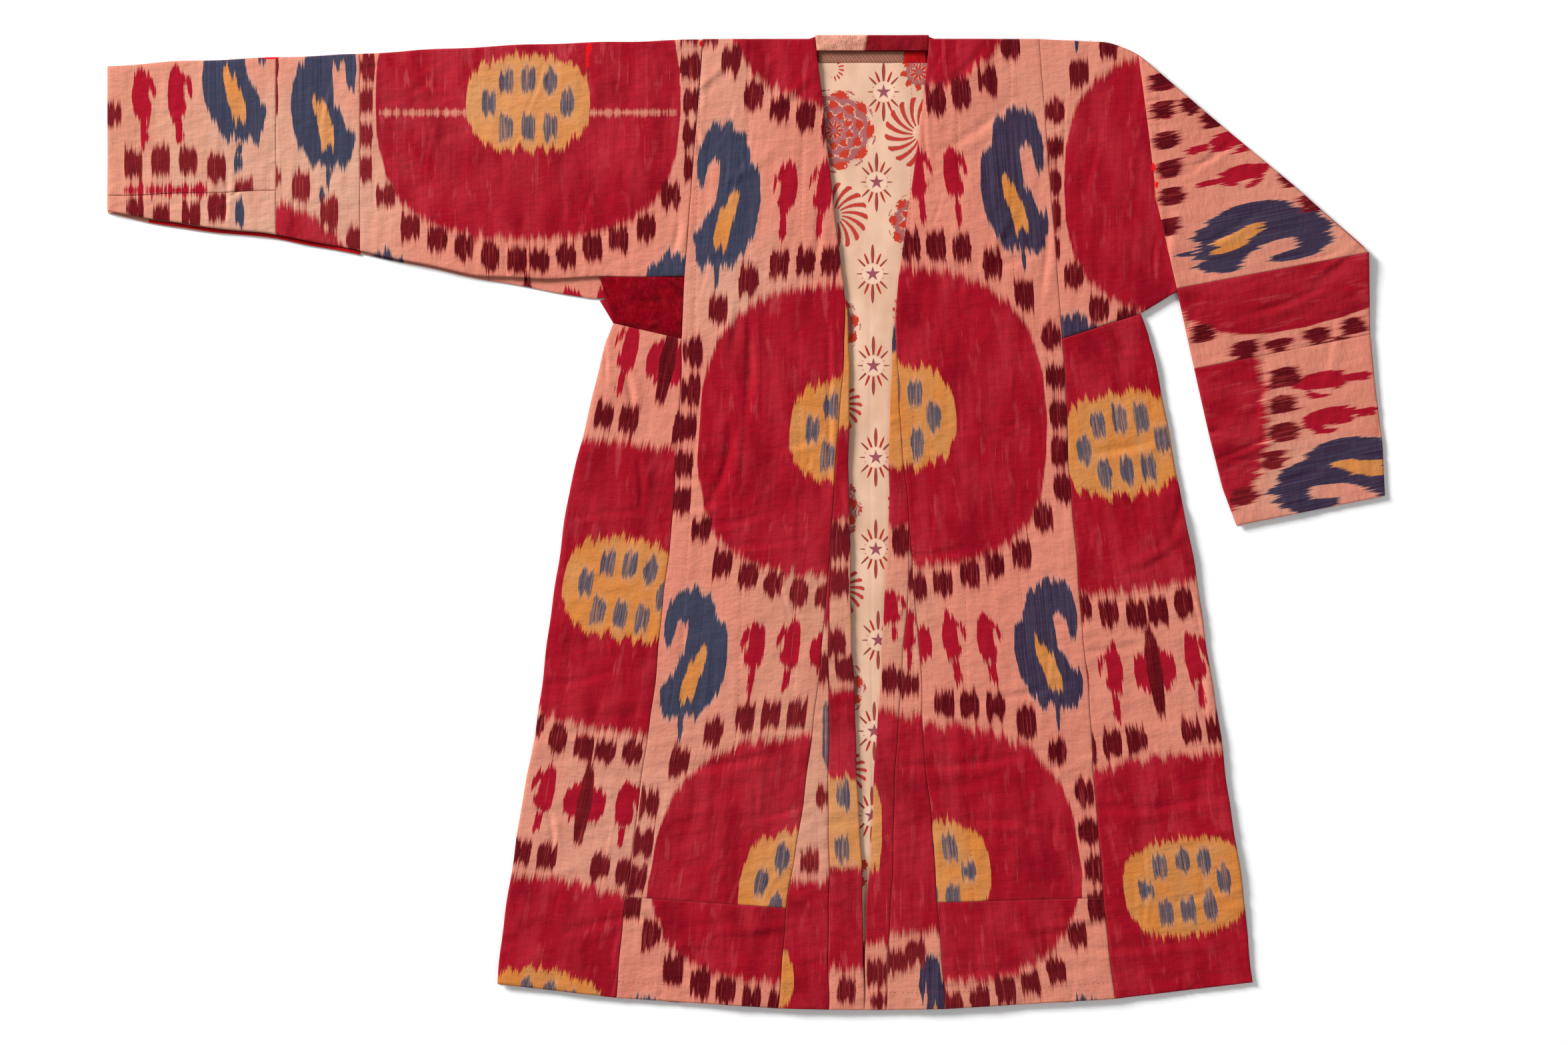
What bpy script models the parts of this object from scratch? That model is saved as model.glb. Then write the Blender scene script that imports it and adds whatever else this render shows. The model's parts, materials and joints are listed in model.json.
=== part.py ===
"""Chapan robe laid out flat: two loom widths of ikat cloth, slit down the front and opened with gores.

Places on the robe are given as (side, down) in millimetres: side runs from the robe's centre line to
+X, and down runs from the shoulder line to -Y. The back lies on the surface at z = 0, the fronts lie on
the back, and the right sleeve is folded over on a slant so that its own back shows on top.
"""
import bmesh
import bpy
import numpy as np

MM = 0.001
WALL = 2.0                  # outer cloth with its lining
LINING_WALL = 1.0
GAP = 0.3                   # between pieces at a seam, and between layers
LAYER = WALL + GAP
SPAN_LEFT = 972.0           # centre line to the left cuff
SPAN_RIGHT = 656.0          # centre line to the edge of the folded right sleeve
NECK_TOP = -5.0
HEM_LOW = 1237.0            # the hem at the centre line
HEM_RISE = 1.45e-4          # the hem rises by this times side squared
SHOULDER = 0.0
ARMPIT = 303.0
GORE_TOP = 382.0
LEFT_TIP = 362.0            # the side gores' outer corners
RIGHT_TIP = 350.0
STRIP_TOP = 332.0           # where the gores at the front edges begin
INNER_GORE_TOP = 610.0
BAND_LOW = 15.0             # lower edges of the neck band, of its facing and of the lining that shows
FACING_LOW = 30.0
LINING_LOW = 1150.0
TUCK = 15.0                 # the back lining runs this far under each front edge
PLATEAU = 120.0             # the fronts ride over the lining to here,
PLATEAU_END = 215.0         # and come down on the back by here

# Seams of the body, as the side of each at a distance down. out is the robe's edge, side the seam
# of the side gore, panel the inner edge of the loom width, mid the seam between the two front gores
# and edge the front opening; b is the back panel's own seam.
SEAMS = {
    "down":    (0,    80,     150,    230,    303,   332,    382,  480,  590,  700,  800,  900,  1000, 1100, 1237),
    "out_l":   (-213, -219.3, -224.9, -231.2, -300,  -315,   -336, -361, -386, -403, -415, -430, -448, -464, -479),
    "side_l":  (-213, -219.3, -224.9, -231.2, -237,  -238.1, -240, -243, -250, -262, -272, -285, -299, -312, -326),
    "back_l":  (-213, -219.3, -224.9, -231.2, -237,  -238.1, -240, -241, -242, -243, -243, -244, -244, -245, -246),
    "panel_l": (-71,  -60,    -53,    -45,    -35,   -31,    -33,  -39,  -48,  -54,  -65,  -75,  -90,  -106, -118),
    "mid_l":   (-71,  -60,    -53,    -45,    -35,   -31,    -33,  -39,  -48,  -52,  -53,  -53,  -53,  -53,  -53),
    "edge_l":  (-71,  -60,    -53,    -45,    -34,   -29,    -27,  -27,  -27,  -25,  -22,  -18,  -14,  -9,   -8),
    "edge_r":  (75,   67,     58,     46,     36,    32,     28,   24,   24,   19,   13,   7,    2,    -5,   -8),
    "mid_r":   (75,   67,     58,     46,     36,    33,     32,   38,   47,   49,   41,   33,   30,   26,   20),
    "panel_r": (75,   67,     58,     46,     36,    33,     32,   38,   47,   56,   64,   68,   78,   86,   95),
    "back_r":  (215,  221.3,  226.8,  233.1,  238.8, 241.1,  245,  246,  246,  247,  247,  247,  248,  248,  248),
    "side_r":  (215,  221.3,  226.8,  233.1,  238.8, 241.1,  245,  250,  256,  266,  275,  283,  289,  298,  312),
    "out_r":   (215,  221.3,  226.8,  233.1,  320,   337,    358,  376,  398,  418,  433,  448,  462,  477,  491),
}

# The left sleeve, straight out: its edges at a distance to the side.
SLEEVE = {
    "side":      (-972, -900, -850, -757, -650, -580, -500, -420, -345, -237, -213),
    "top":       (35,   29,   27,   23,   19,   14,   10,   6,    4,    1,    0),
    "front_low": (219,  232,  239,  249,  270,  285,  302,  306,  303,  303,  303),
    "back_low":  (221,  238,  245,  252,  273,  288,  305,  319,  333,  303,  303),
}
CUFF_SEAM = -757.0
BAND_SEAM = -650.0
CUFF_STRIP_INNER = 193.0    # how far down the strip pieced on under the cuff begins, at each end
CUFF_STRIP_OUTER = 200.0

# The right sleeve as it lies: the part under the fold, then the part folded over, from its two edges.
UNDER_FOLD = {
    "upper": ((215, 0), (305, 4), (340, 18), (400, 70), (470, 130), (550, 196), (629, 265)),
    "lower": ((245, 382), (295, 365.8), (344.6, 350), (390, 322), (470, 306), (550, 289), (632, 272)),
}
FOLDED = {
    "part":  ("main",   "main",     "main",     "main",     "band",     "cuff",     "cuff",     "cuff"),
    "upper": ((341, 21), (353, 110), (365, 210), (390, 318), (413, 420), (431, 500), (449, 572), (467, 620)),
    "lower": ((346, 24), (440, 104), (540, 187), (635, 272), (637, 376), (644, 445), (653, 515), (656, 582)),
}

# The largest folds of the fronts: middle, reach along and across, turn in degrees, and height.
FOLDS = {
    "side":   (-190, -520, -330, 190,  -230, 210,  380),
    "down":   (500,  190,  960,  900,  1140, 330,  1080),
    "along":  (190,  210,  120,  190,  150,  150,  170),
    "across": (45,   55,   45,   50,   45,   45,   45),
    "turn":   (82,   -28,  75,   78,   8,    70,   80),
    "height": (3.0,  3.5,  2.5,  2.5,  2.0,  3.0,  2.5),
}

MADDER = (0.42, 0.02, 0.04, 1.0)
PINK = (0.72, 0.38, 0.28, 1.0)
CREAM = (0.80, 0.68, 0.50, 1.0)
MAROON = (0.14, 0.02, 0.03, 1.0)
SCARLET = (0.60, 0.02, 0.02, 1.0)


def clear_scene():
    for old in list(bpy.data.objects):
        bpy.data.objects.remove(old, do_unlink=True)


def cloth_material(name, colour):
    """A woven cloth of one colour."""
    material = bpy.data.materials.new(name)
    material.use_nodes = True
    cloth = material.node_tree.nodes["Principled BSDF"]
    cloth.inputs["Base Color"].default_value = colour
    cloth.inputs["Roughness"].default_value = 0.8
    cloth.inputs["Metallic"].default_value = 0.0
    return material


def seam(name, down):
    """The side of a seam of the body at a distance down."""
    return np.interp(down, SEAMS["down"], SEAMS[name])


def hem(side):
    """How far down the hem lies at a side."""
    return HEM_LOW - HEM_RISE * np.asarray(side) ** 2


def stations(start, end, table, steps):
    """The table's own stations from start to end, with the longest gaps halved until there are steps."""
    inside = [place for place in table if min(start, end) + 1.0 < place < max(start, end) - 1.0]
    places = sorted(inside + [start, end], reverse=bool(end < start))
    while len(places) < steps + 1:
        widest = int(np.argmax(np.abs(np.diff(places))))
        places.insert(widest + 1, 0.5 * (places[widest] + places[widest + 1]))
    return np.array(places, float)


def run_down(name, top, bottom, steps):
    """Points along a seam of the body; a bottom of None runs on to the hem."""
    low = float(hem(seam(name, HEM_LOW))) if bottom is None else bottom
    down = stations(top, low, SEAMS["down"], steps)
    return np.column_stack((seam(name, down), down))


def run_out(name, start, end, steps):
    """Points along an edge of the left sleeve; start and end are sides."""
    side = stations(start, end, SLEEVE["side"], steps)
    return np.column_stack((side, np.interp(side, SLEEVE["side"], SLEEVE[name])))


def smooth_step(value):
    value = np.clip(value, 0.0, 1.0)
    return value * value * (3.0 - 2.0 * value)


def front_lift(side, down):
    """How far the fronts are lifted by the lining under them and by their own folds."""
    reach = np.abs(side - seam("edge_l", down) * 0.5 - seam("edge_r", down) * 0.5)
    lift = (LINING_WALL + GAP) * smooth_step((PLATEAU_END - reach) / (PLATEAU_END - PLATEAU))
    for middle, low, along, across, turn, height in zip(*(FOLDS[key] for key in (
            "side", "down", "along", "across", "turn", "height"))):
        angle = np.radians(turn)
        with_fold = (side - middle) * np.cos(angle) + (down - low) * np.sin(angle)
        past_fold = (down - low) * np.cos(angle) - (side - middle) * np.sin(angle)
        lift = lift + height * np.exp(-(with_fold / along) ** 2 - (past_fold / across) ** 2)
    return lift


def draw_in(places):
    """Pull the four borders of a piece in by half a seam gap."""
    for border, inner in ((0, 1), (-1, -2)):
        for line, next_line in ((places[border], places[inner]), (places[:, border], places[:, inner])):
            step = next_line - line
            line += 0.5 * GAP * step / np.linalg.norm(step, axis=1, keepdims=True)


def lay(name, first, second, across, base, material, lift=None, wall=WALL):
    """Lay one cloth piece between two edges, from a grid, and thicken it upward.

    base is the height of its underside: a number, or a height for each step along the edges.
    """
    first, second = np.asarray(first, float), np.asarray(second, float)
    share = np.linspace(0.0, 1.0, across + 1)[None, :, None]
    places = first[:, None, :] * (1.0 - share) + second[:, None, :] * share
    draw_in(places)
    steps = len(first) - 1
    height = np.zeros((steps + 1, across + 1)) + np.reshape(base, (-1, 1))
    if lift is not None:
        height += lift(places[..., 0], places[..., 1])
    bm = bmesh.new()
    bmesh.ops.create_grid(bm, x_segments=across, y_segments=steps, size=1.0)
    for vert in bm.verts:
        column = round((vert.co.x + 1.0) * 0.5 * across)
        row = round((vert.co.y + 1.0) * 0.5 * steps)
        side, down = places[row, column]
        vert.co = ((side + CENTRE_SIDE) * MM, (CENTRE_DOWN - down) * MM, height[row, column] * MM)
    bm.normal_update()
    if sum(face.normal.z for face in bm.faces) < 0.0:
        bmesh.ops.reverse_faces(bm, faces=bm.faces)
    mesh = bpy.data.meshes.new(name)
    bm.to_mesh(mesh)
    bm.free()
    mesh.materials.append(material)
    piece = bpy.data.objects.new(name, mesh)
    ROBE.objects.link(piece)
    thick = piece.modifiers.new("Wall", "SOLIDIFY")
    thick.thickness = wall * MM
    thick.offset = 1.0
    return piece


def lay_back(ikat):
    """The back loom width and its side gores, flat on the surface."""
    lay("back_body", run_down("back_l", NECK_TOP, None, 15), run_down("back_r", NECK_TOP, None, 15),
        3, 0.0, ikat)
    lay("back_gore_left", run_down("out_l", LEFT_TIP, None, 9), run_down("back_l", GORE_TOP, None, 9),
        2, 0.0, ikat)
    lay("back_gore_right", run_down("back_r", GORE_TOP, None, 9), run_down("out_r", RIGHT_TIP, None, 9),
        2, 0.0, ikat)


def lay_fronts(ikat):
    """Each front's loom width, its pieced hem, its two front gores and its side gore."""
    for hand, tip, hem_outer, hem_inner in (("l", LEFT_TIP, 1093.0, 1107.0), ("r", RIGHT_TIP, 1094.0, 1100.0)):
        word = {"l": "left", "r": "right"}[hand]
        outer, inner = "side_" + hand, "panel_" + hand
        lay("front_body_" + word, run_down(outer, SHOULDER, hem_outer, 28),
            run_down(inner, SHOULDER, hem_inner, 28), 7, LAYER, ikat, front_lift)
        lay("front_hem_" + word, run_down(outer, hem_outer, None, 4), run_down(inner, hem_inner, None, 4),
            7, LAYER, ikat, front_lift)
        lay("front_strip_" + word, run_down("mid_" + hand, STRIP_TOP, None, 22),
            run_down("edge_" + hand, STRIP_TOP, None, 22), 1, LAYER, ikat, front_lift)
        lay("front_gore_" + word, run_down(inner, INNER_GORE_TOP, None, 16),
            run_down("mid_" + hand, INNER_GORE_TOP, None, 16), 2, LAYER, ikat, front_lift)
        lay("side_gore_" + word, run_down("out_" + hand, tip, None, 20),
            run_down(outer, GORE_TOP, None, 20), 5, LAYER, ikat, front_lift)


def lay_left_sleeve(ikat):
    """The left sleeve straight out: main, band and cuff, back and front."""
    armhole_top, armhole_low = seam("side_l", SHOULDER), seam("side_l", ARMPIT)
    for face, base, lift, main_steps, band_steps, across in (
            ("back", 0.0, None, 6, 2, 4), ("front", LAYER, front_lift, 12, 3, 8)):
        low = face + "_low"
        lay("sleeve_left_main_" + face, run_out("top", armhole_top, BAND_SEAM, main_steps),
            run_out(low, armhole_low, BAND_SEAM, main_steps), across, base, ikat, lift)
        lay("sleeve_left_band_" + face, run_out("top", BAND_SEAM, CUFF_SEAM, band_steps),
            run_out(low, BAND_SEAM, CUFF_SEAM, band_steps), across, base, ikat, lift)
    lay("sleeve_left_cuff_back", run_out("top", CUFF_SEAM, -SPAN_LEFT, 3),
        run_out("back_low", CUFF_SEAM, -SPAN_LEFT, 3), 3, 0.0, ikat)
    side = np.linspace(CUFF_SEAM, -SPAN_LEFT, 4)
    pieced = np.column_stack((side, np.linspace(CUFF_STRIP_INNER, CUFF_STRIP_OUTER, 4)))
    lay("sleeve_left_cuff_front", run_out("top", CUFF_SEAM, -SPAN_LEFT, 3), pieced,
        4, LAYER, ikat, front_lift)
    lay("sleeve_left_cuff_strip", pieced, run_out("front_low", CUFF_SEAM, -SPAN_LEFT, 3),
        1, LAYER, ikat, front_lift)


def lay_gussets(ikat):
    """The square under the left arm, folded in two, so that each face shows a triangle with a cut tip."""
    low = ((seam("out_l", LEFT_TIP), LEFT_TIP), (seam("side_l", GORE_TOP), GORE_TOP))
    armpit = (seam("side_l", ARMPIT), ARMPIT)
    for face, outer_down, base, lift in (("front", 303, LAYER, front_lift), ("back", 333, 0.0, None)):
        lay("gusset_left_" + face, ((-345, outer_down), armpit), low, 2, base, ikat, lift)


def lay_right_sleeve(ikat):
    """The right sleeve: back and front under the fold, then front and back again folded over them."""
    for face, base in (("back", 0.0), ("front", LAYER)):
        lay("sleeve_right_under_" + face, UNDER_FOLD["upper"], UNDER_FOLD["lower"], 4, base, ikat)
    upper, lower = np.array(FOLDED["upper"], float), np.array(FOLDED["lower"], float)
    for face, rise in (("front", 0.0), ("back", LAYER)):
        on_sleeve, on_floor = 2.0 * LAYER + rise, rise
        lay("sleeve_right_main_" + face, upper[:4], lower[:4], 4, on_sleeve, ikat)
        drop = on_floor + (on_sleeve - on_floor) * smooth_step(np.linspace(1.0, 0.0, 5))
        share = np.linspace(0.0, 1.0, 5)[:, None]
        lay("sleeve_right_band_" + face, upper[3] * (1 - share) + upper[4] * share,
            lower[3] * (1 - share) + lower[4] * share, 4, drop, ikat)
        lay("sleeve_right_cuff_" + face, upper[4:], lower[4:], 4, on_floor, ikat)


def lay_neck_and_lining(maroon, cream, scarlet):
    """The neck band, the facing and scrap of lining under it, and the back lining in the opening."""
    lay("neck_band", run_down("panel_l", NECK_TOP, BAND_LOW, 2), run_down("panel_r", NECK_TOP, BAND_LOW, 2),
        3, LAYER, maroon)
    lay("neck_facing", ((-66, BAND_LOW), (43, BAND_LOW)), ((-66, FACING_LOW), (43, FACING_LOW)),
        1, LAYER, maroon, wall=LINING_WALL)
    lay("neck_lining", ((43, BAND_LOW), (71, BAND_LOW)), ((43, FACING_LOW), (71, FACING_LOW)),
        1, LAYER, scarlet, wall=LINING_WALL)
    left = run_down("edge_l", FACING_LOW, LINING_LOW, 12)
    right = run_down("edge_r", FACING_LOW, LINING_LOW, 12)
    lay("lining_back", left - (TUCK, 0), right + (TUCK, 0), 2, LAYER, cream, wall=LINING_WALL)
    low = run_out("front_low", -650.0, -920.0, 5)
    lay("sleeve_left_lining", low + (0, 0.2), low + (0, 5.0), 1, LAYER, scarlet, wall=LINING_WALL)


clear_scene()
CENTRE_SIDE = 0.5 * (SPAN_LEFT - SPAN_RIGHT)
CENTRE_DOWN = 0.5 * (NECK_TOP + HEM_LOW)
ROBE = bpy.data.collections.new("chapan_robe")
bpy.context.scene.collection.children.link(ROBE)
ikat_cloth = cloth_material("ikat", MADDER)
lay_back(cloth_material("ikat_back", PINK))
lay_fronts(ikat_cloth)
lay_left_sleeve(ikat_cloth)
lay_gussets(cloth_material("gusset", MADDER))
lay_right_sleeve(ikat_cloth)
lay_neck_and_lining(cloth_material("band", MAROON), cloth_material("lining", CREAM),
                    cloth_material("lining_red", SCARLET))
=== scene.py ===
"""Looks of the chapan robe: an ikat robe laid flat, its right sleeve folded over on a slant.

Places on the robe are (side, down) in millimetres, as in the frame: side from the robe's centre line
to +X, down from the shoulder line to -Y. Cloth places are (u, v): u across the loom width from the
side seam, and v along the warp from the middle of a red medallion. The dyes are bound along the warp,
so each motif is held as the stretch of every thread that took the dye.
"""
import json
import math

import bpy
import numpy as np
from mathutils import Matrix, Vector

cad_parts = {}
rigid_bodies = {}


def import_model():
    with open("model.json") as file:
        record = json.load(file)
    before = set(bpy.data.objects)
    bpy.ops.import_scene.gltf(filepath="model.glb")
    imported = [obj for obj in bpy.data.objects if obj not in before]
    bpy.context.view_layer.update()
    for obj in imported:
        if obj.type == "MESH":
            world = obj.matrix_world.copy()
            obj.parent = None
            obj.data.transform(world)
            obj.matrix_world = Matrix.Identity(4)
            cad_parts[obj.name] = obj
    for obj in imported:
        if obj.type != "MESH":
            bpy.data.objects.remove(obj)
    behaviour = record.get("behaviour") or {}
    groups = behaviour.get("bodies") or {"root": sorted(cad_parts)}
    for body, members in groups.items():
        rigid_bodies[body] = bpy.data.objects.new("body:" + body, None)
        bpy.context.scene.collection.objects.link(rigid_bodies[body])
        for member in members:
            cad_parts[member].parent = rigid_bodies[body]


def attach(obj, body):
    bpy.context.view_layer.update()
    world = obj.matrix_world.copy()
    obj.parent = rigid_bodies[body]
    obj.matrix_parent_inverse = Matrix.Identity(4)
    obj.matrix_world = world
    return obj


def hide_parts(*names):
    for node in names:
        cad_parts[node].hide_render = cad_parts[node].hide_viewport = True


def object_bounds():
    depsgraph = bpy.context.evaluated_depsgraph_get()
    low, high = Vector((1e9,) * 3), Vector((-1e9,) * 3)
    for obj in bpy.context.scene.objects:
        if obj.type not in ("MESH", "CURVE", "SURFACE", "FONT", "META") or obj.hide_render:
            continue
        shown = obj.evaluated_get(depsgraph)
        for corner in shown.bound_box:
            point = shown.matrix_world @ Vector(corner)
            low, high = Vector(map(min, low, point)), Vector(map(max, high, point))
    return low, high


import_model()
cad_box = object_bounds()

# ---------------------------------------------------------------------------------------------
# Floor, light and camera: a white sheet of paper under soft studio light, seen from straight above,
# with a little more light from the upper left, which shows the creases.
# ---------------------------------------------------------------------------------------------
VIEW_WIDTH = 2.0
VIEW_MIDDLE = (0.048, 0.0)
LENS = 85.0
SENSOR = 36.0
EYE_HEIGHT = VIEW_WIDTH * LENS / SENSOR


def area_light(name, place, size, power):
    """A square light of a given size at a place, turned to the middle of the robe."""
    data = bpy.data.lights.new(name, "AREA")
    data.shape = "SQUARE"
    data.size = size
    data.energy = power
    lamp = bpy.data.objects.new(name, data)
    lamp.location = place
    x, y, z = place
    lamp.rotation_euler = (math.atan2(math.hypot(x, y), z), 0.0, math.atan2(y, x) + math.pi / 2.0)
    bpy.context.scene.collection.objects.link(lamp)


def stage_scene():
    """The floor, the lights, the pale surroundings and the camera."""
    bpy.ops.mesh.primitive_plane_add(size=30.0, location=(0.0, 0.0, -0.0002))
    floor = bpy.context.object
    floor.name = "floor"
    paper = bpy.data.materials.new("floor_paper")
    paper.use_nodes = True
    surface = paper.node_tree.nodes["Principled BSDF"]
    surface.inputs["Base Color"].default_value = (0.97, 0.97, 0.97, 1.0)
    surface.inputs["Roughness"].default_value = 0.9
    surface.inputs["Specular IOR Level"].default_value = 0.05
    floor.data.materials.append(paper)
    area_light("key_light", (-7.5, 5.9, 4.9), 3.4, 1950.0)
    area_light("fill_light", (3.0, -2.6, 4.6), 3.0, 60.0)
    world = bpy.data.worlds.new("studio")
    world.use_nodes = True
    world.node_tree.nodes["Background"].inputs["Color"].default_value = (1.0, 1.0, 1.0, 1.0)
    world.node_tree.nodes["Background"].inputs["Strength"].default_value = 0.30
    bpy.context.scene.world = world
    bpy.context.scene.view_settings.view_transform = "Standard"
    lens = bpy.data.cameras.new("camera")
    lens.lens = LENS
    lens.sensor_width = SENSOR
    eye = bpy.data.objects.new("camera", lens)
    eye.location = (*VIEW_MIDDLE, EYE_HEIGHT)
    bpy.context.scene.collection.objects.link(eye)
    bpy.context.scene.camera = eye


stage_scene()

# ---------------------------------------------------------------------------------------------
# Back: one loom width of silk and cotton ikat from neck to hem, with a gore let in at each side.
# It lies on the surface, so its outer face is underneath and only its edges show from above.
# ---------------------------------------------------------------------------------------------
MM = 0.001
CENTRE_SIDE = 158.0
CENTRE_DOWN = 616.0
CLOTH = 1.6                 # thickness of the outer cloth with its lining
HALF_SEAM = 0.15            # each piece stops this far short of its seam
HEM_LOW = 1237.0
HEM_RISE = 1.45e-4
REPEAT = 590.0              # of the ikat along the warp
LOOM = 440.0
SEAMS = {
    "down":    (   0,     80,    150,    230,   303,    332,  382,  480,
                 590,  700,  800,  900, 1000, 1100, 1237),
    "out_l":   (-213, -219.3, -224.9, -231.2,  -300,   -315, -336, -361,
                -386, -403, -415, -430, -448, -464, -479),
    "side_l":  (-213, -219.3, -224.9, -231.2,  -237, -238.1, -240, -243,
                -250, -262, -272, -285, -299, -312, -326),
    "back_l":  (-213, -219.3, -224.9, -231.2,  -237, -238.1, -240, -241,
                -242, -243, -243, -244, -244, -245, -246),
    "panel_l": ( -71,    -60,    -53,    -45,   -35,    -31,  -33,  -39,
                 -48,  -54,  -65,  -75,  -90, -106, -118),
    "mid_l":   ( -71,    -60,    -53,    -45,   -35,    -31,  -33,  -39,
                 -48,  -52,  -53,  -53,  -53,  -53,  -53),
    "edge_l":  ( -71,    -60,    -53,    -45,   -34,    -29,  -27,  -27,
                 -27,  -25,  -22,  -18,  -14,   -9,   -8),
    "edge_r":  (  75,     67,     58,     46,    36,     32,   28,   24,
                  24,   19,   13,    7,    2,   -5,   -8),
    "mid_r":   (  75,     67,     58,     46,    36,     33,   32,   38,
                  47,   49,   41,   33,   30,   26,   20),
    "panel_r": (  75,     67,     58,     46,    36,     33,   32,   38,
                  47,   56,   64,   68,   78,   86,   95),
    "back_r":  ( 215,  221.3,  226.8,  233.1, 238.8,  241.1,  245,  246,
                 246,  247,  247,  247,  248,  248,  248),
    "side_r":  ( 215,  221.3,  226.8,  233.1, 238.8,  241.1,  245,  250,
                 256,  266,  275,  283,  289,  298,  312),
    "out_r":   ( 215,  221.3,  226.8,  233.1,   320,    337,  358,  376,
                 398,  418,  433,  448,  462,  477,  491),
}


def seam(name, down):
    """The side of a seam at a distance down: the table's line, averaged over a short stretch, so
    that its corners are soft, with a slight hand-sewn waver."""
    down = np.asarray(down, float)
    shifts = (-24.0, -12.0, 0.0, 12.0, 24.0)
    near = [np.interp(down + shift, SEAMS["down"], SEAMS[name]) for shift in shifts]
    waver = 0.7 * np.sin(down / 31.0 + len(name)) + 0.4 * np.sin(down / 12.7)
    line = sum(near) / len(near) + waver * np.where(down < 382.0, 0.3, 1.0)
    if name.startswith("mid"):          # one seam with the panel's down to the tip of the front gore
        share = np.clip((down - 610.0) / 40.0, 0.0, 1.0)
        beside = seam(name.replace("mid", "panel"), down)
        line = beside + (line - beside) * share * share * (3.0 - 2.0 * share)
    return line


def hem(side):
    """How far down the hem lies at a side: a shallow bow about the centre line."""
    return HEM_LOW - HEM_RISE * np.asarray(side, float) ** 2


def down_seam(name, top, bottom=None):
    """The line along a seam from top to bottom, or to the hem, as a function of a share from 0 to 1."""
    low = float(hem(seam(name, HEM_LOW))) if bottom is None else bottom

    def line(share):
        down = top + (low - top) * share
        return np.stack((seam(name, down), down), axis=-1)
    return line


def through(*points):
    """The line through a few points, spaced along it by their distances, with softened corners."""
    points = np.array(points, float)
    run = np.concatenate(([0.0], np.cumsum(np.hypot(*np.diff(points, axis=0).T))))

    def line(share):
        soft = 0.02 * (1.0 - np.abs(2.0 * share - 1.0) ** 8)
        total = 0.0
        for shift in (-1.0, -0.5, 0.0, 0.5, 1.0):
            at = np.clip(share + soft * shift, 0.0, 1.0) * run[-1]
            total = total + np.stack([np.interp(at, run, column) for column in points.T], axis=-1)
        return total / 5.0
    return line


def unevenness(side, down, along, across, seed):
    """Smooth random heights from -1 to 1: values on a lattice of along by across, eased between."""
    lattice = np.random.default_rng(seed).uniform(-1.0, 1.0, (67, 71))
    a, b = np.asarray(side) / along + 31.0, np.asarray(down) / across + 7.0
    column, row = np.floor(a).astype(int), np.floor(b).astype(int)
    a, b = a - column, b - row
    a, b = a * a * (3.0 - 2.0 * a), b * b * (3.0 - 2.0 * b)
    corner = lambda down_step, side_step: lattice[(row + down_step) % 67, (column + side_step) % 71]
    upper = corner(0, 0) * (1.0 - a) + corner(0, 1) * a
    lower = corner(1, 0) * (1.0 - a) + corner(1, 1) * a
    return upper * (1.0 - b) + lower * b


def spread(length, spacing):
    """Shares from 0 to 1 along a length, close together at both ends, where the cloth turns over."""
    turn = np.array([0.0, 0.5, 1.2, 2.2, 3.5]) / max(length, 12.0)
    middle = np.linspace(turn[-1], 1.0 - turn[-1], max(int(length / spacing), 2))
    return np.concatenate((turn[:-1], middle, 1.0 - turn[-2::-1]))


# The dyed motifs, each a list of (dye, u, high, low): across the threads at u, the stretch from low
# to high along the warp took the dye. Ovals and blocks follow a formula, the others short columns.
def oval(dye, half_width, half_length, power, at=(0.0, 0.0)):
    """(u / half_width) ** power + (v / half_length) ** power = 1, as a stretch on every thread."""
    u = half_width * np.sin(np.linspace(-0.5, 0.5, 25) * math.pi)
    high = half_length * np.maximum(1.0 - np.abs(u / half_width) ** power, 0.0) ** (1.0 / power)
    return dye, u + at[0], at[1] + high, at[1] - high


CRIMSON, RED, BLUE, ORANGE, SPOT, MAROON, RESIST = range(7)
MOTIFS = {
    "medallion": [oval(RED, 194, 187, 2.8)],
    "disc": [oval(ORANGE, 79, 65, 2.7)],
    "spot": [oval(SPOT, 9.5, 18, 4.5)],
    "square": [oval(MAROON, 12.5, 17, 9.0)],
    "pepper": [
        (BLUE, (-6, -1, 4, 8, 13, 17, 21, 25, 30, 35, 40), (92, 88, 84, 80, 77, 72, 62, 44, 42, 34, 20),
         (-90, -84, -82, -86, -90, -84, -76, -70, -62, -52, -36)),
        (BLUE, (-40, -37, -33, -30, -27, -20, -14, -10, -5), (62, 70, 75, 84, 86, 87, 87, 92, 92),
         (16, 8, 7, 12, 40, 45, 40, 31, 22)),
        (BLUE, (-40, -33, -26, -21, -16, -10, -5), (-41, -38, -28, -16, -8, 7, 20),
         (-58, -82, -92, -86, -85, -90, -92)),
        (BLUE, (-8, -6, -4), (-86, -84, -86), (-108, -119, -112)),
        (ORANGE, (-14, -12, -9, -5, -1, 3, 6, 9, 12, 15), (-48, -36, -26, -18, -10, -4, 0, 4, 6, 4),
         (-60, -66, -66, -56, -66, -64, -48, -30, -22, -10))],
    "boteh": [
        (CRIMSON, (-4, 0, 4, 8, 11, 13), (32, 36, 39, 38, 30, 22), (-28, -29, -29, -27, -22, -15)),
        (CRIMSON, (-10, -7, -3), (-7, -2, 7), (-18, -25, -28)),
        (CRIMSON, (-16, -13, -10, -7, -3), (18, 24, 28, 30, 32), (-4, 2, 13, 15, 14)),
        (CRIMSON, (-4, 0, 3), (-26, -24, -26), (-48, -64, -50)),
        (CRIMSON, (-6, -1, 4), (-44, -41, -44), (-55, -60, -54))],
    "cross": [
        (MAROON, (-6, 0, 6), (52, 58, 50), (-50, -60, -54)),
        (CRIMSON, (-26, -20, -12, 12, 20, 26), (10, 22, 26, 26, 22, 10), (-10, -20, -26, -26, -22, -8))],
}
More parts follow.
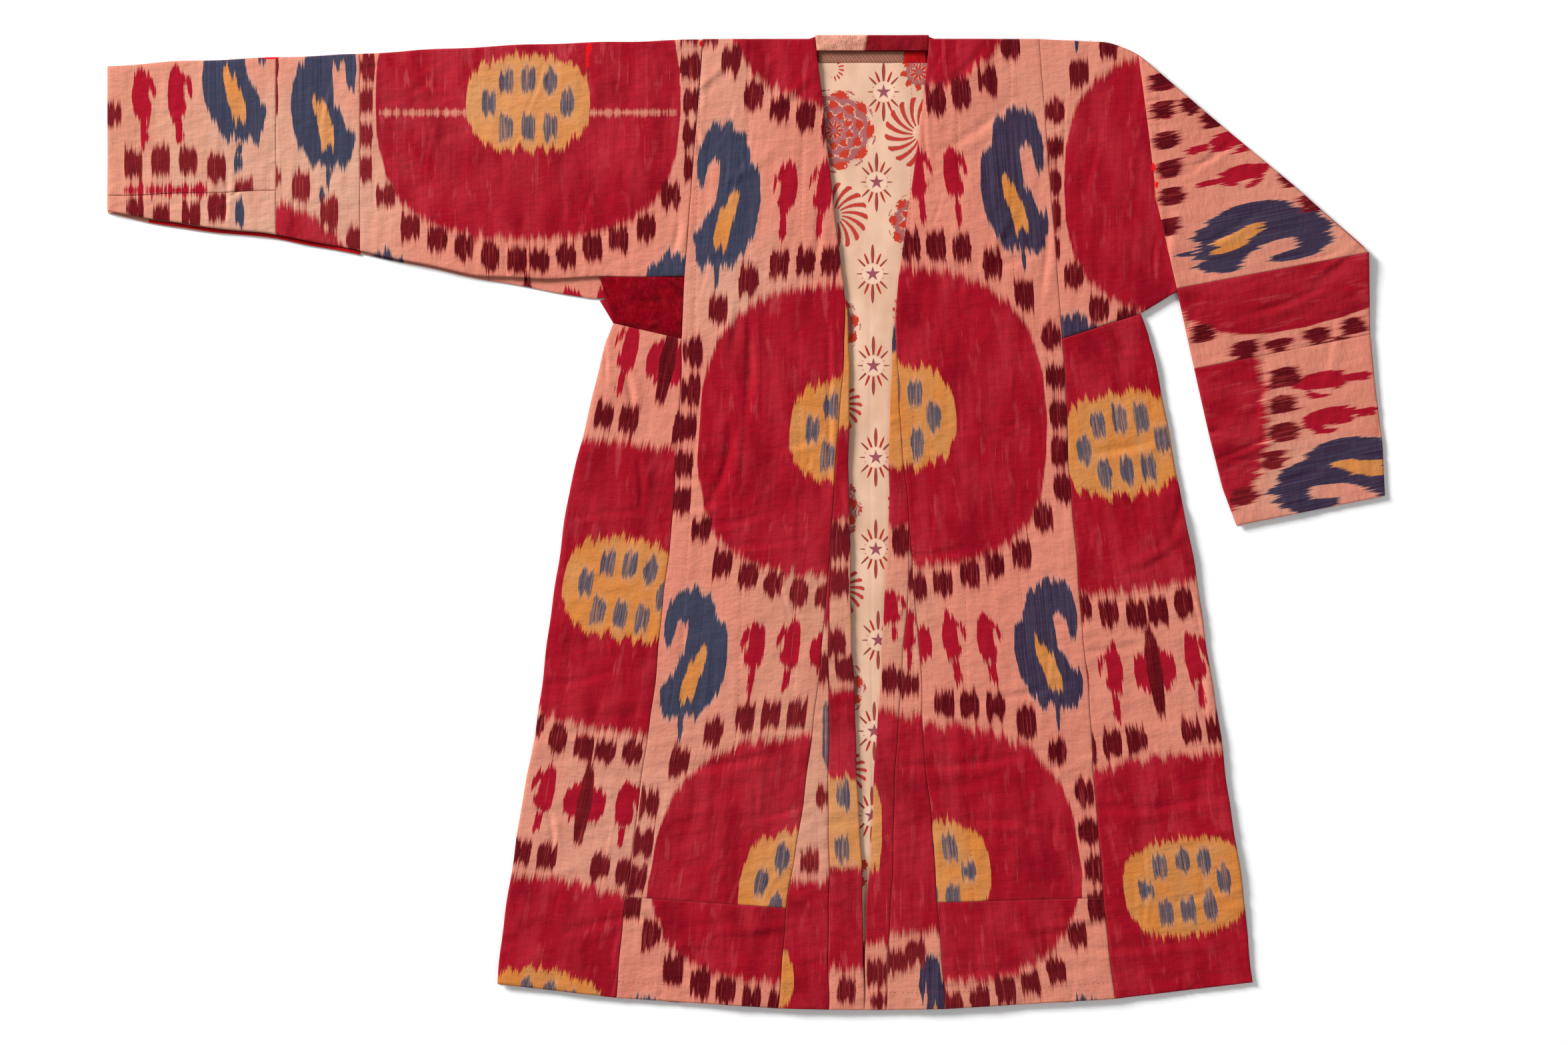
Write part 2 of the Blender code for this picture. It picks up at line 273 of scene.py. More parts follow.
RING = {"u": (185, 153, 120, 82, 45, 14, 13, 10, 10, 9, 38, 70, 105, 138, 172, 206),
        "v": (214, 213, 211, 190, 153, 100, 50, 3, -44, -90, -126, -171, -187, -197, -210, -216)}
SPOTS = {"u": (-28, 0, 28, -28, 0, 28, -50, 50), "v": (30, 33, 30, -33, -33, -33, 0, 0)}


def chart():
    """One half of the loom width: the medallion and its disc, the ring of squares, and the pepper,
    the two botehs and the cross between two medallions, as (motif, u, v, turned over)."""
    half = [("square", u, v, 1) for u, v in zip(RING["u"], RING["v"])]
    half += [("pepper", 47, 295, 1), ("boteh", 121, 298, 1), ("boteh", 166, 300, 1)]
    whole = half + [(name, LOOM - u, v, -1) for name, u, v, _ in half]
    whole += [("medallion", LOOM / 2, 0, 1), ("disc", LOOM / 2, 0, 1), ("cross", LOOM / 2, 295, 1)]
    whole += [("spot", LOOM / 2 + u, v, 1) for u, v in zip(SPOTS["u"], SPOTS["v"])]
    return [(name, u, v + turn * REPEAT, 1.0, 1.0, flip)
            for name, u, v, flip in whole for turn in (-2, -1, 0, 1)]


CHART = chart()
UNDYED, DYED = -20.0, 60.0  # the lowest and the highest that a dye's field goes
SIDE_FALL = 12.0            # how fast it falls past the sides of a motif


def dye_cloth(u, v, stamps):
    """How far inside each dye every point lies, in millimetres along its thread: the least of the
    distances to the two ends of the dyed stretch, falling fast past its sides."""
    fields = np.full((7, u.size), UNDYED)
    for name, at_u, at_v, wide, tall, flip in stamps:
        for dye, columns, high, low in MOTIFS[name]:
            columns, high, low = (np.asarray(values, float) for values in (columns, high, low))
            across, along = (u - at_u) * flip / wide, (v - at_v) / tall
            near = (across > columns[0] - 8.0) & (across < columns[-1] + 8.0)
            near &= (along > low.min() - 22.0) & (along < high.max() + 22.0)
            if not near.any():
                continue
            a, b = across[near], along[near]
            past = np.maximum(np.maximum(columns[0] - a, a - columns[-1]), 0.0) * wide
            stretch = np.minimum(np.interp(a, columns, high) - b, b - np.interp(a, columns, low))
            fields[dye, near] = np.maximum(fields[dye, near], stretch * abs(tall) - SIDE_FALL * past)
    return np.clip(fields, UNDYED, DYED)


def bands(v, rows):
    """Dyed stretches over the whole width of a narrow piece, from rows of (dye, low, high) along v."""
    fields = np.full((7, v.size), UNDYED)
    for dye, low, high in rows:
        fields[dye] = np.maximum(fields[dye], np.minimum(v - low, high - v))
    return np.clip(fields, UNDYED, DYED)


# Worn and faded places, on all pieces: side, down, reach, and how pale, brown and faded they are.
WEAR = {
    "side": (-940, -830, -700, -560, -400, -170, 30, -60, -330, -400,
             230, 430, 480, -60, -90, 60, 540, 530, -200, 200),
    "down": (110, 150, 200, 60, 60, 330, 750, 1000, 1000, 560,
             80, 800, 1050, 700, 900, 1200, 250, 560, 60, 1220),
    "reach": (70, 130, 110, 120, 130, 80, 60, 90, 130, 110,
              90, 110, 90, 90, 120, 80, 110, 90, 90, 130),
    "pale": (0.2, 1.0, 1.0, 0.2, 0.2, 0.8, 0.4, 0.6, 0.6, 0.3,
             0.3, 0.2, 0.1, 0.6, 0.5, 0.2, 0.3, 0.5, 0.5, 0.1),
    "brown": (0.5, 0.15, 0.05, 0.1, 0.1, 0.1, 0.3, 0.2, 0.1, 0.0,
              0.1, 0.0, 0.0, 0.5, 0.4, 0.3, 0.1, 0.1, 0.1, 0.1),
    "faded": (0.5, 0.5, 0.9, 0.9, 0.6, 0.3, 0.3, 0.9, 0.4, 0.3,
              0.2, 0.1, 0.1, 0.6, 0.5, 0.6, 0.3, 0.6, 0.2, 0.2),
}


def wear(side, down):
    """The three kinds of wear at each point: soft round patches, added up."""
    total = np.zeros((3, side.size))
    for middle, low, reach, *kinds in zip(*WEAR.values()):
        patch = np.exp(-((side - middle) ** 2 + (down - low) ** 2) / reach ** 2)
        total += np.array(kinds)[:, None] * patch
    return np.clip(total, 0.0, 1.0)


def roll(distance, reach):
    """1 at a border, falling to 0 at a reach inside it, along a quarter circle."""
    near = 1.0 - np.clip(distance / reach, 0.0, 1.0)
    return 1.0 - np.sqrt(1.0 - near ** 2)


# Torn or worn-through places: side, down, and half the width and the length of each.
TEARS = ((-361, 24, 2.5, 19), (-358, 12, 4, 8), (360, 164, 3, 6), (364, 186, 2.5, 5),
         (368, 178, 3, 3), (-215, 6, 3, 4), (-765, 24, 12, 2.2))


def tears(side, down):
    """How far inside a torn or worn-through place each point lies: the red lining shows there."""
    field = np.full(side.shape, -9.0)
    for middle, low, half_width, half_length in TEARS:
        ragged = half_width * (1.0 - ((down - low) / half_length) ** 2) + 1.2 * np.sin(down * 1.3 + side)
        field = np.maximum(field, np.minimum(ragged - np.abs(side - middle), 4.0))
    return field


def cloth_piece(name, first, second, top, weave, spacing=(4.4, 2.4), dyes=None, material=None,
                sink=(0.35, 0.35, 0.35, 0.35), flat_under=None, shape=None):
    """A thin closed shell of cloth between two edges.

    Its places run evenly from the first edge to the second, in rows spaced along both. top gives the
    height of its upper face; each border sinks a little (or rises, below zero) and is rounded over.
    weave gives (u, v) on the cloth, and dyes the fields of each dye there. flat_under gives the lower
    face of a piece that lies on the surface, and shape moves its places down before it is laid.
    """
    probe = np.linspace(0.0, 1.0, 41)
    length = max(np.hypot(*np.diff(edge(probe), axis=0).T).sum() for edge in (first, second))
    width = np.hypot(*(second(probe) - first(probe)).T)
    rows, columns = spread(length, spacing[0]), spread(width.mean(), spacing[1])
    start, end = first(rows)[:, None], second(rows)[:, None]
    reach = np.hypot(*(end - start)[:, 0].T)[:, None]
    trim = HALF_SEAM * (end - start) / np.maximum(reach[..., None], 1.0)
    places = start + trim + (end - start - 2.0 * trim) * columns[None, :, None]
    if shape is not None:
        places[..., 1] = shape(places[..., 0], places[..., 1])
    n, m = places.shape[:2]
    side, down = places[..., 0].ravel(), places[..., 1].ravel()
    run = np.broadcast_to(rows[:, None], (n, m))
    gaps = (reach * columns[None], reach * (1.0 - columns[None]), run * length, (1.0 - run) * length)
    inside = np.minimum.reduce(gaps).ravel()
    sunk = np.max([roll(gap.ravel(), 5.0) * abs(amount) for gap, amount in zip(gaps, sink)], axis=0)
    sunk = sunk * np.sign(sum(sink)) + 0.45 * roll(inside, 2.2)
    upper = top(side, down) - sunk
    under = upper - CLOTH + 0.9 * roll(inside, 2.2)
    if flat_under is not None:
        under = np.minimum(flat_under(side, down) + 0.5 * roll(inside, 2.2), upper - 0.4)
    under = np.maximum(under, 0.0)
    upper = np.maximum(upper, under + 0.35)
    x, y = (side + CENTRE_SIDE) * MM, (CENTRE_DOWN - down) * MM
    points = np.concatenate((np.stack((x, y, upper * MM), -1), np.stack((x, y, under * MM), -1)))
    index = np.arange(n * m).reshape(n, m)
    face = np.stack((index[:-1, :-1], index[1:, :-1], index[1:, 1:], index[:-1, 1:]), -1).reshape(-1, 4)
    rim = np.concatenate((index[:, 0], index[-1, 1:], index[-2::-1, -1], index[0, -2:0:-1]))
    after = np.roll(rim, -1)
    wall = np.stack((rim, rim + n * m, after + n * m, after), -1)
    faces = np.concatenate((face, face[:, ::-1] + n * m, wall))
    a, b, c = (points[face[len(face) // 2, k]] for k in (0, 1, 2))
    if np.cross(b - a, c - a)[2] < 0.0:
        faces = faces[:, ::-1]
    mesh = bpy.data.meshes.new(name)
    mesh.from_pydata(points.tolist(), [], faces.tolist())
    mesh.shade_smooth()
    u, v = (np.asarray(values, float).ravel() for values in weave(side, down))
    both = lambda values: np.concatenate((values, values))
    put_map(mesh, "cloth", both(u), both(v))
    if dyes is not None:
        fields = dyes(u, v)
        put_vector(mesh, "dye_a", [both(fields[k]) for k in (0, 1, 2)])
        put_vector(mesh, "dye_b", [both(fields[k]) for k in (3, 4, 5)])
        put_vector(mesh, "dye_c", [both(fields[6]), both(inside), both(tears(side, down))])
        put_vector(mesh, "wear", [both(row) for row in wear(side, down)])
    piece = bpy.data.objects.new(name, mesh)
    bpy.context.scene.collection.objects.link(piece)
    mesh.materials.append(material)
    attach(piece, "root")
    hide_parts(name.replace("cloth_", ""))
    return piece


def put_map(mesh, name, u, v):
    """A map of the mesh in millimetres of cloth."""
    layer = mesh.uv_layers.new(name=name)
    corner = np.empty(len(mesh.loops), dtype=np.int64)
    mesh.loops.foreach_get("vertex_index", corner)
    layer.data.foreach_set("uv", np.stack((u[corner], v[corner]), -1).astype(np.float32).ravel())


def put_vector(mesh, name, columns):
    """Three numbers at every point of the mesh."""
    layer = mesh.attributes.new(name, "FLOAT_VECTOR", "POINT")
    layer.data.foreach_set("vector", np.stack(columns, -1).astype(np.float32).ravel())


class Thread:
    """A socket of a material's nodes; sums and products of threads add Math nodes."""

    def __init__(self, tree, socket=None):
        self.tree = tree
        self.socket = socket

    def node(self, kind, settings=None, inputs=None, output=0):
        """Add one node: its settings first, then the values or threads of its sockets."""
        made = self.tree.nodes.new(kind)
        for key, value in (settings or {}).items():
            setattr(made, key, value)
        for key, value in (inputs or {}).items():
            if isinstance(value, Thread):
                self.tree.links.new(value.socket, made.inputs[key])
            else:
                made.inputs[key].default_value = value
        return Thread(self.tree, made.outputs[output])

    def math(self, operation, *values):
        """One Math node on threads or values."""
        return self.node("ShaderNodeMath", {"operation": operation}, dict(enumerate(values)))

    def __add__(self, other):
        return self.math("ADD", self, other)

    def __sub__(self, other):
        return self.math("SUBTRACT", self, other)

    def __rsub__(self, other):
        return self.math("SUBTRACT", other, self)

    def __mul__(self, other):
        return self.math("MULTIPLY", self, other)

    __radd__ = __add__
    __rmul__ = __mul__

    def within(self, low, high):
        """0 at low, 1 at high, straight between and held outside."""
        return self.node("ShaderNodeMapRange", {}, {"Value": self, "From Min": low, "From Max": high})

    def parts(self):
        """The three numbers of a vector."""
        split = self.tree.nodes.new("ShaderNodeSeparateXYZ")
        self.tree.links.new(self.socket, split.inputs[0])
        return [Thread(self.tree, output) for output in split.outputs]

    def read(self, label):
        """The three numbers kept at every point of the mesh under a label."""
        return self.node("ShaderNodeAttribute", {"attribute_name": label}, output=1).parts()

    def cloth_map(self):
        """The place on the cloth: u across and v along the warp, in millimetres."""
        return self.node("ShaderNodeUVMap", {"uv_map": "cloth"}).parts()[:2]

    def vector(self, x=0.0, y=0.0, z=0.0):
        """A vector of three numbers or threads."""
        return self.node("ShaderNodeCombineXYZ", {}, {0: x, 1: y, 2: z})

    def noise(self, x, y, z=0.0, detail=2.0):
        """Cloudy noise about 0.5 at a place given by three numbers."""
        place = self.vector(x, y, z)
        return self.node("ShaderNodeTexNoise", {}, {"Vector": place, "Scale": 1.0, "Detail": detail})

    def mix(self, share, first, second):
        """The first colour, turning to the second as share goes from 0 to 1."""
        chosen = []
        for colour in (first, second):
            chosen.append(colour if isinstance(colour, Thread) else (*colour, 1.0))
        inputs = {0: share, 6: chosen[0], 7: chosen[1]}
        return self.node("ShaderNodeMix", {"data_type": "RGBA"}, inputs, output=2)


def new_material(name, roughness=0.85):
    """A material with its surface, and a thread to build its nodes from."""
    material = bpy.data.materials.new(name)
    material.use_nodes = True
    surface = material.node_tree.nodes["Principled BSDF"]
    surface.inputs["Roughness"].default_value = roughness
    surface.inputs["Specular IOR Level"].default_value = 0.02
    return material, surface, Thread(material.node_tree)


def finish_surface(weaver, surface, colour, height, roughness, strength=0.5, depth=0.0006):
    """Join the colour, the roughness and the small relief of a cloth to its surface."""
    tree = weaver.tree
    bump = weaver.node("ShaderNodeBump", {}, {"Strength": strength, "Distance": depth, "Height": height})
    tree.links.new(colour.socket, surface.inputs["Base Color"])
    tree.links.new(roughness.socket, surface.inputs["Roughness"])
    tree.links.new(bump.socket, surface.inputs["Normal"])


def ikat_cloth(name, pink, red, blue, seed=0.0):
    """Warp ikat: dyes laid on bundles of threads, so that every dyed stretch ends in a ragged row of
    points, with a fine weft rib, long streaks, faded, pale and brown places, and painted shade along
    the border of each piece."""
    material, surface, weaver = new_material(name)
    u, v = weaver.cloth_map()
    crimson, madder, indigo = weaver.read("dye_a")
    orange, spot, maroon = weaver.read("dye_b")
    resist, inside, torn = weaver.read("dye_c")
    pale, brown, faded = weaver.read("wear")
    bundle = weaver.noise(u * 0.16, v * 0.006, seed, 1.0)
    strand = weaver.noise(u * 0.62, v * 0.013, seed + 3.0, 2.0)
    hair = weaver.noise(u * 1.9, v * 0.02, seed + 7.0, 1.0)
    ragged = (bundle - 0.5) * 34.0 + (strand - 0.5) * 30.0 + (hair - 0.5) * 10.0
    streak = weaver.noise(u * 0.55, v * 0.008, seed + 11.0, 3.0)
    cloud = weaver.noise(u * 0.03, v * 0.014, seed + 13.0, 4.0)
    weft = weaver.noise(u * 0.03, v * 1.6, seed + 17.0, 2.0)
    fleck = weaver.noise(u * 0.085, v * 0.021, seed + 23.0, 2.0) + (strand - 0.5) * 0.30
    ground = weaver.mix(pale.within(0.0, 1.0), pink, (0.61, 0.335, 0.235))
    ground = weaver.mix(brown * 0.75, ground, (0.50, 0.20, 0.11))
    ground = weaver.mix(cloud.within(0.42, 0.78) * 0.35, ground, (0.56, 0.16, 0.11))
    ground = weaver.mix(streak.within(0.48, 0.75) * 0.30, ground, (0.70, 0.29, 0.20))
    ground = weaver.mix(strand.within(0.56, 0.72) * 0.30, ground, (0.50, 0.10, 0.08))
    edge = lambda field, soft, push=0.0: (field + ragged + push).within(-soft, soft)
    colour = weaver.mix(edge(crimson, 2.4), ground, (0.33, 0.004, 0.017))
    worn_red = weaver.mix(fleck.within(0.58, 0.67) * (0.45 + faded * 0.5), red, (0.45, 0.045, 0.058))
    worn_red = weaver.mix(faded * cloud.within(0.35, 0.65) * 0.6, worn_red, (0.40, 0.040, 0.052))
    dark = weaver.noise(u * 0.020, v * 0.011, seed + 31.0, 4.0)
    worn_red = weaver.mix(dark.within(0.48, 0.64) * 0.7, worn_red, (0.205, 0.001, 0.009))
    broad = weaver.noise(u * 0.035, v * 0.009, seed + 29.0, 3.0)
    worn_red = weaver.mix(broad.within(0.45, 0.66) * 0.75, worn_red, (0.42, 0.017, 0.032))
    deep_red = weaver.mix(streak.within(0.46, 0.70) * 0.38, worn_red, (0.22, 0.001, 0.009))
    halo = edge(madder, 5.5)
    colour = weaver.mix(halo * (1.0 - (resist + ragged * 0.5).within(-2.0, 3.0) * 0.85), colour, deep_red)
    worn_blue = weaver.mix((streak + bundle * 0.3).within(0.50, 0.90) * 0.7, blue, (0.066, 0.070, 0.110))
    colour = weaver.mix(edge(indigo, 5.5, 4.0) * 0.45, colour, (0.60, 0.33, 0.24))
    colour = weaver.mix(edge(indigo, 3.0), colour, worn_blue)
    gold = weaver.mix(cloud.within(0.4, 0.7), (0.60, 0.205, 0.042), (0.56, 0.240, 0.078))
    gold = weaver.mix(streak.within(0.5, 0.8) * 0.45, gold, (0.47, 0.135, 0.028))
    gold = weaver.mix(faded * 0.5, gold, (0.60, 0.290, 0.130))
    colour = weaver.mix(edge(orange, 2.4), colour, gold)
    grey_blue = weaver.mix(streak.within(0.35, 0.75), (0.027, 0.033, 0.066), (0.120, 0.125, 0.150))
    colour = weaver.mix(edge(spot, 5.0, 3.0) * 0.4, colour, (0.60, 0.31, 0.19))
    colour = weaver.mix(edge(spot, 2.6, -1.5) * (0.95 - strand.within(0.52, 0.66) * 0.5), colour, grey_blue)
    colour = weaver.mix(edge(maroon, 4.5, 2.5) * 0.6, colour, (0.30, 0.012, 0.022))
    plum = weaver.mix(strand.within(0.42, 0.66), (0.060, 0.001, 0.004), (0.155, 0.004, 0.009))
    plum = weaver.mix(faded * 0.6, plum, (0.25, 0.018, 0.022))
    colour = weaver.mix(edge(maroon, 2.4, -1.0) * (1.0 - strand.within(0.60, 0.70) * 0.45), colour, plum)
    colour = weaver.mix(weft.within(0.35, 0.75) * 0.10, colour, (0.30, 0.06, 0.05))
    colour = weaver.mix((hair.within(0.45, 0.8)) * 0.12, colour, (0.10, 0.004, 0.006))
    # Painted shade: within 2.5 mm of each piece's border, where the seams and rolled edges lie, the colour
    # darkens a quarter of the way to dark red.
    colour = weaver.mix((2.5 - inside).within(0.0, 2.5) * 0.25, colour, (0.20, 0.03, 0.03))
    colour = weaver.mix((torn + (hair - 0.5) * 3.0).within(-0.2, 0.3), colour, (0.62, 0.008, 0.010))
    crinkle = weaver.noise(u * 0.085, v * 0.15, seed + 19.0, 5.0)
    height = weft * 0.12 + hair * 0.07 + crinkle * 1.1
    finish_surface(weaver, surface, colour, height, 0.78 + (streak - 0.5) * 0.2, 1.0, 0.0011)
    return material


PINK = (0.64, 0.215, 0.150)
MADDER = (0.325, 0.003, 0.014)
NAVY = (0.021, 0.037, 0.070)
VIOLET_NAVY = (0.022, 0.016, 0.043)
ikat_left = ikat_cloth("ikat_left", PINK, MADDER, NAVY, 1.0)
ikat_right = ikat_cloth("ikat_right", PINK, MADDER, VIOLET_NAVY, 41.0)


def under_face(side, down):
    """The underside of what lies on the surface: flat, with a few places that stand just clear."""
    return 0.25 * np.maximum(unevenness(side, down, 90.0, 140.0, 5), 0.0)


def repeat_dyes(u, v):
    """The dyes of the loom's repeat."""
    return dye_cloth(u, v, CHART)


def back_top(side, down):
    """The upper face of what lies on the surface."""
    return 2.0 + 0.0 * side


LIFTED = (-0.4, -0.4, -0.4, -0.4)   # borders that stand a little above the middle


def lay_back():
    """The back loom width with a whole medallion across it, and a gore at each side. Its top edge
    stands up behind the neck only, and from there follows the shoulders."""
    def shoulders(side, down):
        away = np.clip((np.abs(side - 2.0) - 66.0) / 22.0, 0.0, 1.0)
        return down + 6.0 * away * away * (3.0 - 2.0 * away) * np.clip(1.0 - (down + 5.0) / 40.0, 0.0, 1.0)
    cloth_piece("cloth_back_body", down_seam("back_l", -5.0), down_seam("back_r", -5.0), back_top,
                lambda side, down: (side - seam("back_l", down), 500.0 - down), (8.0, 5.0),
                dyes=repeat_dyes, material=ikat_left, flat_under=under_face, shape=shoulders)
    cloth_piece("cloth_back_gore_left", down_seam("out_l", 362.0), down_seam("back_l", 382.0), back_top,
                lambda side, down: (side + 540.0, 700.0 - down), (8.0, 5.0),
                dyes=repeat_dyes, material=ikat_left, sink=LIFTED, flat_under=under_face)
    cloth_piece("cloth_back_gore_right", down_seam("back_r", 382.0), down_seam("out_r", 350.0), back_top,
                lambda side, down: (540.0 - side, 760.0 - down), (8.0, 5.0),
                dyes=repeat_dyes, material=ikat_right, sink=LIFTED, flat_under=under_face)


lay_back()

# ---------------------------------------------------------------------------------------------
# Fronts: one loom width slit down its middle, each half from shoulder to knee with a strip pieced on
# at the hem, two narrow gores at its front edge, and a side gore. Creases and quilting shape them.
# ---------------------------------------------------------------------------------------------
FRONT_BASE = 4.3            # the fronts' upper face where they lie on the back
OVER_LINING = 1.3
# Creases: the middle of each, its length, its turn from the side axis, how wide and deep it is
# (a negative depth is a ridge) and how far it bows.
CREASES = {
    "side":   (-159, -198, -175, -180, -54, -95, -220, -135, -195, -100, -125, -150,
               130, 165, 90, 220, 120, 180, 240, 70, 190, 140,
               -310, -340, -295, -375, -410, -360, -320,
               320, 360, 390, 310, 430, 360, 420, 340,
               -210, -250, -200, -100, -160, -70, 110, 180, 230),
    "down":   (420, 540, 610, 370, 470, 510, 590, 640, 910, 885, 980, 1130,
               110, 250, 650, 280, 910, 1010, 1120, 510, 830, 1180,
               450, 610, 570, 810, 1010, 880, 1130,
               510, 650, 590, 770, 850, 970, 1080, 1150,
               50, 250, 280, 60, 160, 250, 40, 280, 130),
    "length": (150, 140, 110, 90, 260, 90, 110, 120, 220, 150, 130, 160,
               150, 120, 160, 140, 260, 220, 200, 120, 180, 220,
               80, 130, 90, 120, 90, 110, 160,
               150, 120, 130, 150, 110, 160, 140, 190,
               90, 60, 90, 120, 110, 90, 110, 100, 90),
    "turn":   (88, 75, 10, 80, 90, 18, 12, 4, 8, -6, 14, 6,
               35, 60, 8, 84, 5, -8, 10, -28, 12, 4,
               100, 6, 92, 12, 98, 4, 8,
               12, 30, 78, 8, 98, 6, 14, 5,
               40, 80, 8, 38, 30, 88, 42, 18, 60),
    "width":  (4.5, 5.5, 3.5, 5.0, 2.6, 3.5, 3.2, 3.0, 4.5, 3.5, 3.2, 4.5,
               5.0, 5.0, 3.2, 4.0, 4.5, 4.0, 4.5, 3.2, 4.0, 4.5,
               4.0, 3.2, 4.0, 3.4, 3.0, 3.2, 4.2,
               4.5, 4.0, 4.5, 3.8, 4.2, 4.2, 3.8, 4.0,
               4.0, 4.0, 3.5, 5.0, 5.0, 3.6, 4.5, 4.0, 4.0),
    "depth":  (1.3, 1.5, 0.9, -0.8, 0.9, 0.8, 0.8, 0.7, 1.0, 0.8, 0.7, -0.8,
               0.8, -0.7, 0.7, 0.8, 1.0, 0.8, -0.9, 0.7, 0.7, 0.8,
               1.1, 0.8, 1.0, 0.8, 0.8, 0.7, 0.9,
               0.9, -0.9, 0.9, 0.7, 0.8, 0.9, 0.8, 0.8,
               -0.8, 0.9, 0.7, -0.7, -0.6, 0.7, 0.7, 0.7, -0.7),
    "bow":    (6, 14, 6, 0, 2, 8, 6, 4, 16, -6, 10, 4,
               8, 0, 6, 4, 14, -12, 10, 8, 6, 8,
               4, -6, 3, 8, 5, 4, -8,
               12, 8, 6, 8, -6, 10, 12, 8,
               4, 4, 3, 6, 8, 4, 6, 5, 6),
}
QUILTING = {"left": (-219, -154, -88), "right": (51, 111, 179)}     # how far out each stitched line runs


def crease_relief(side, down, table):
    """The sum of all creases: each a soft trough with a low ridge beside it, fading out at its ends."""
    relief = np.zeros(side.shape)
    for middle, low, length, turn, width, depth, bow in zip(*table.values()):
        angle = math.radians(turn)
        run = (side - middle) * math.cos(angle) - (down - low) * math.sin(angle)
        off = (side - middle) * math.sin(angle) + (down - low) * math.cos(angle)
        share = 2.0 * run / length
        off = off - bow * (1.0 - share ** 2)
        fade = np.clip(1.0 - share ** 2, 0.0, 1.0) ** 1.5
        trough = np.exp(-(off / width) ** 2) - 0.55 * np.exp(-((off - 2.1 * width) / (1.5 * width)) ** 2)
        relief -= 2.3 * depth * fade * trough
    return relief


def fine_creases(side, down):
    """Many short, sharp, shallow creases, as old cloth keeps: most run across or down the piece."""
    chance = np.random.default_rng(77)
    relief = np.zeros(side.shape)
    for _ in range(420):
        middle, low = chance.uniform(-960.0, 650.0), chance.uniform(0.0, 1230.0)
        length, width = chance.uniform(26.0, 95.0), chance.uniform(1.5, 2.6)
        angle = math.radians(chance.choice((5.0, 20.0, 80.0, 95.0, 150.0)) + chance.uniform(-16.0, 16.0))
        depth, bow = chance.uniform(0.4, 1.25), chance.uniform(-5.0, 5.0)
        near = (np.abs(side - middle) < 0.6 * length) & (np.abs(down - low) < 0.6 * length)
        if not near.any():
            continue
        a, b = side[near] - middle, down[near] - low
        share = 2.0 * (a * math.cos(angle) - b * math.sin(angle)) / length
        off = a * math.sin(angle) + b * math.cos(angle) - bow * (1.0 - share ** 2)
        fade = np.clip(1.0 - share ** 2, 0.0, 1.0)
        relief[near] += depth * fade * (0.6 * np.exp(-((off - 2.4 * width) / (1.4 * width)) ** 2)
                                        - np.exp(-(off / width) ** 2))
    return relief


def wrinkles(side, down):
    """The uneven lie of a soft, washed cloth: broad swells, and small wrinkles in two directions."""
    swell = 1.2 * unevenness(side, down, 95.0, 130.0, 1) + 0.7 * unevenness(side, down, 42.0, 50.0, 2)
    lie = np.clip((down - 300.0) / 600.0, 0.25, 1.0)
    tilted = down + 0.18 * side + 4.0 * unevenness(side, down, 60.0, 60.0, 9)
    small = 0.75 * unevenness(side, tilted, 46.0, 11.0, 3) * lie
    fine = 0.36 * unevenness(side - 0.3 * down, down + 0.3 * side, 17.0, 8.0, 6)
    upright = 0.36 * unevenness(side + 0.1 * down, down, 9.0, 60.0, 4)
    return swell + small + fine + upright + fine_creases(side, down)


def stitched_lines(side, down):
    """Shallow channels where lines of running stitch draw the cloth down on its lining."""
    dip = np.zeros(side.shape)
    for line in QUILTING["left"] + QUILTING["right"]:
        off = side - quilt_line(line, down)
        dip += 0.55 * np.exp(-(off / 2.2) ** 2) * (0.8 + 0.2 * np.sin(down / 3.1))
        dip -= 0.30 * np.exp(-(off / 13.0) ** 2) * unevenness(side, down, 11.0, 5.5, 8)
    return dip


def quilt_line(line, down):
    """A quilting line: it leans out with the side seam towards the hem, and wanders a little."""
    lean = (np.asarray(down, float) / HEM_LOW) ** 2 * line * 0.22
    return line + lean + 1.6 * np.sin(np.asarray(down, float) / 71.0 + line)


def front_top(side, down):
    """The upper face of the fronts: over the lining, with every crease and wrinkle."""
    off = np.abs(side - 0.5 * (seam("edge_l", down) + seam("edge_r", down)))
    rise = np.clip((215.0 - off) / 95.0, 0.0, 1.0)
    rise = OVER_LINING * rise * rise * (3.0 - 2.0 * rise)
    relief = wrinkles(side, down) + crease_relief(side, down, CREASES) - stitched_lines(side, down)
    return FRONT_BASE + rise + np.maximum(relief + 3.6, 0.15 * relief)


def from_anchors(down, downs, warps):
    """Where the warp has got to at a distance down, by anchors measured down the piece, and evenly
    on past the first and the last of them."""
    past = np.maximum(down - downs[-1], 0.0) - np.maximum(downs[0] - down, 0.0)
    return np.interp(down, downs, warps) - past


# Each half of the front: where its hem strip begins at the side and at the panel seam, and how far down
# the warp's own places lie.
FRONTS = {
    "left":  {"cloth": ikat_left, "low": (1093.0, 1107.0),
              "downs": (-102, 198, 312, 498, 685, 772, 887, 1074),
              "warps": (590, 295, 187, 0, -187, -287, -403, -590)},
    "right": {"cloth": ikat_right, "low": (1094.0, 1100.0),
              "downs": (-112, 68, 291, 481, 672, 765, 873, 1060),
              "warps": (590, 403, 187, 0, -187, -290, -403, -590)},
}
HEM_WARP = 425.0            # where v is 0 on the strips pieced on at the hem


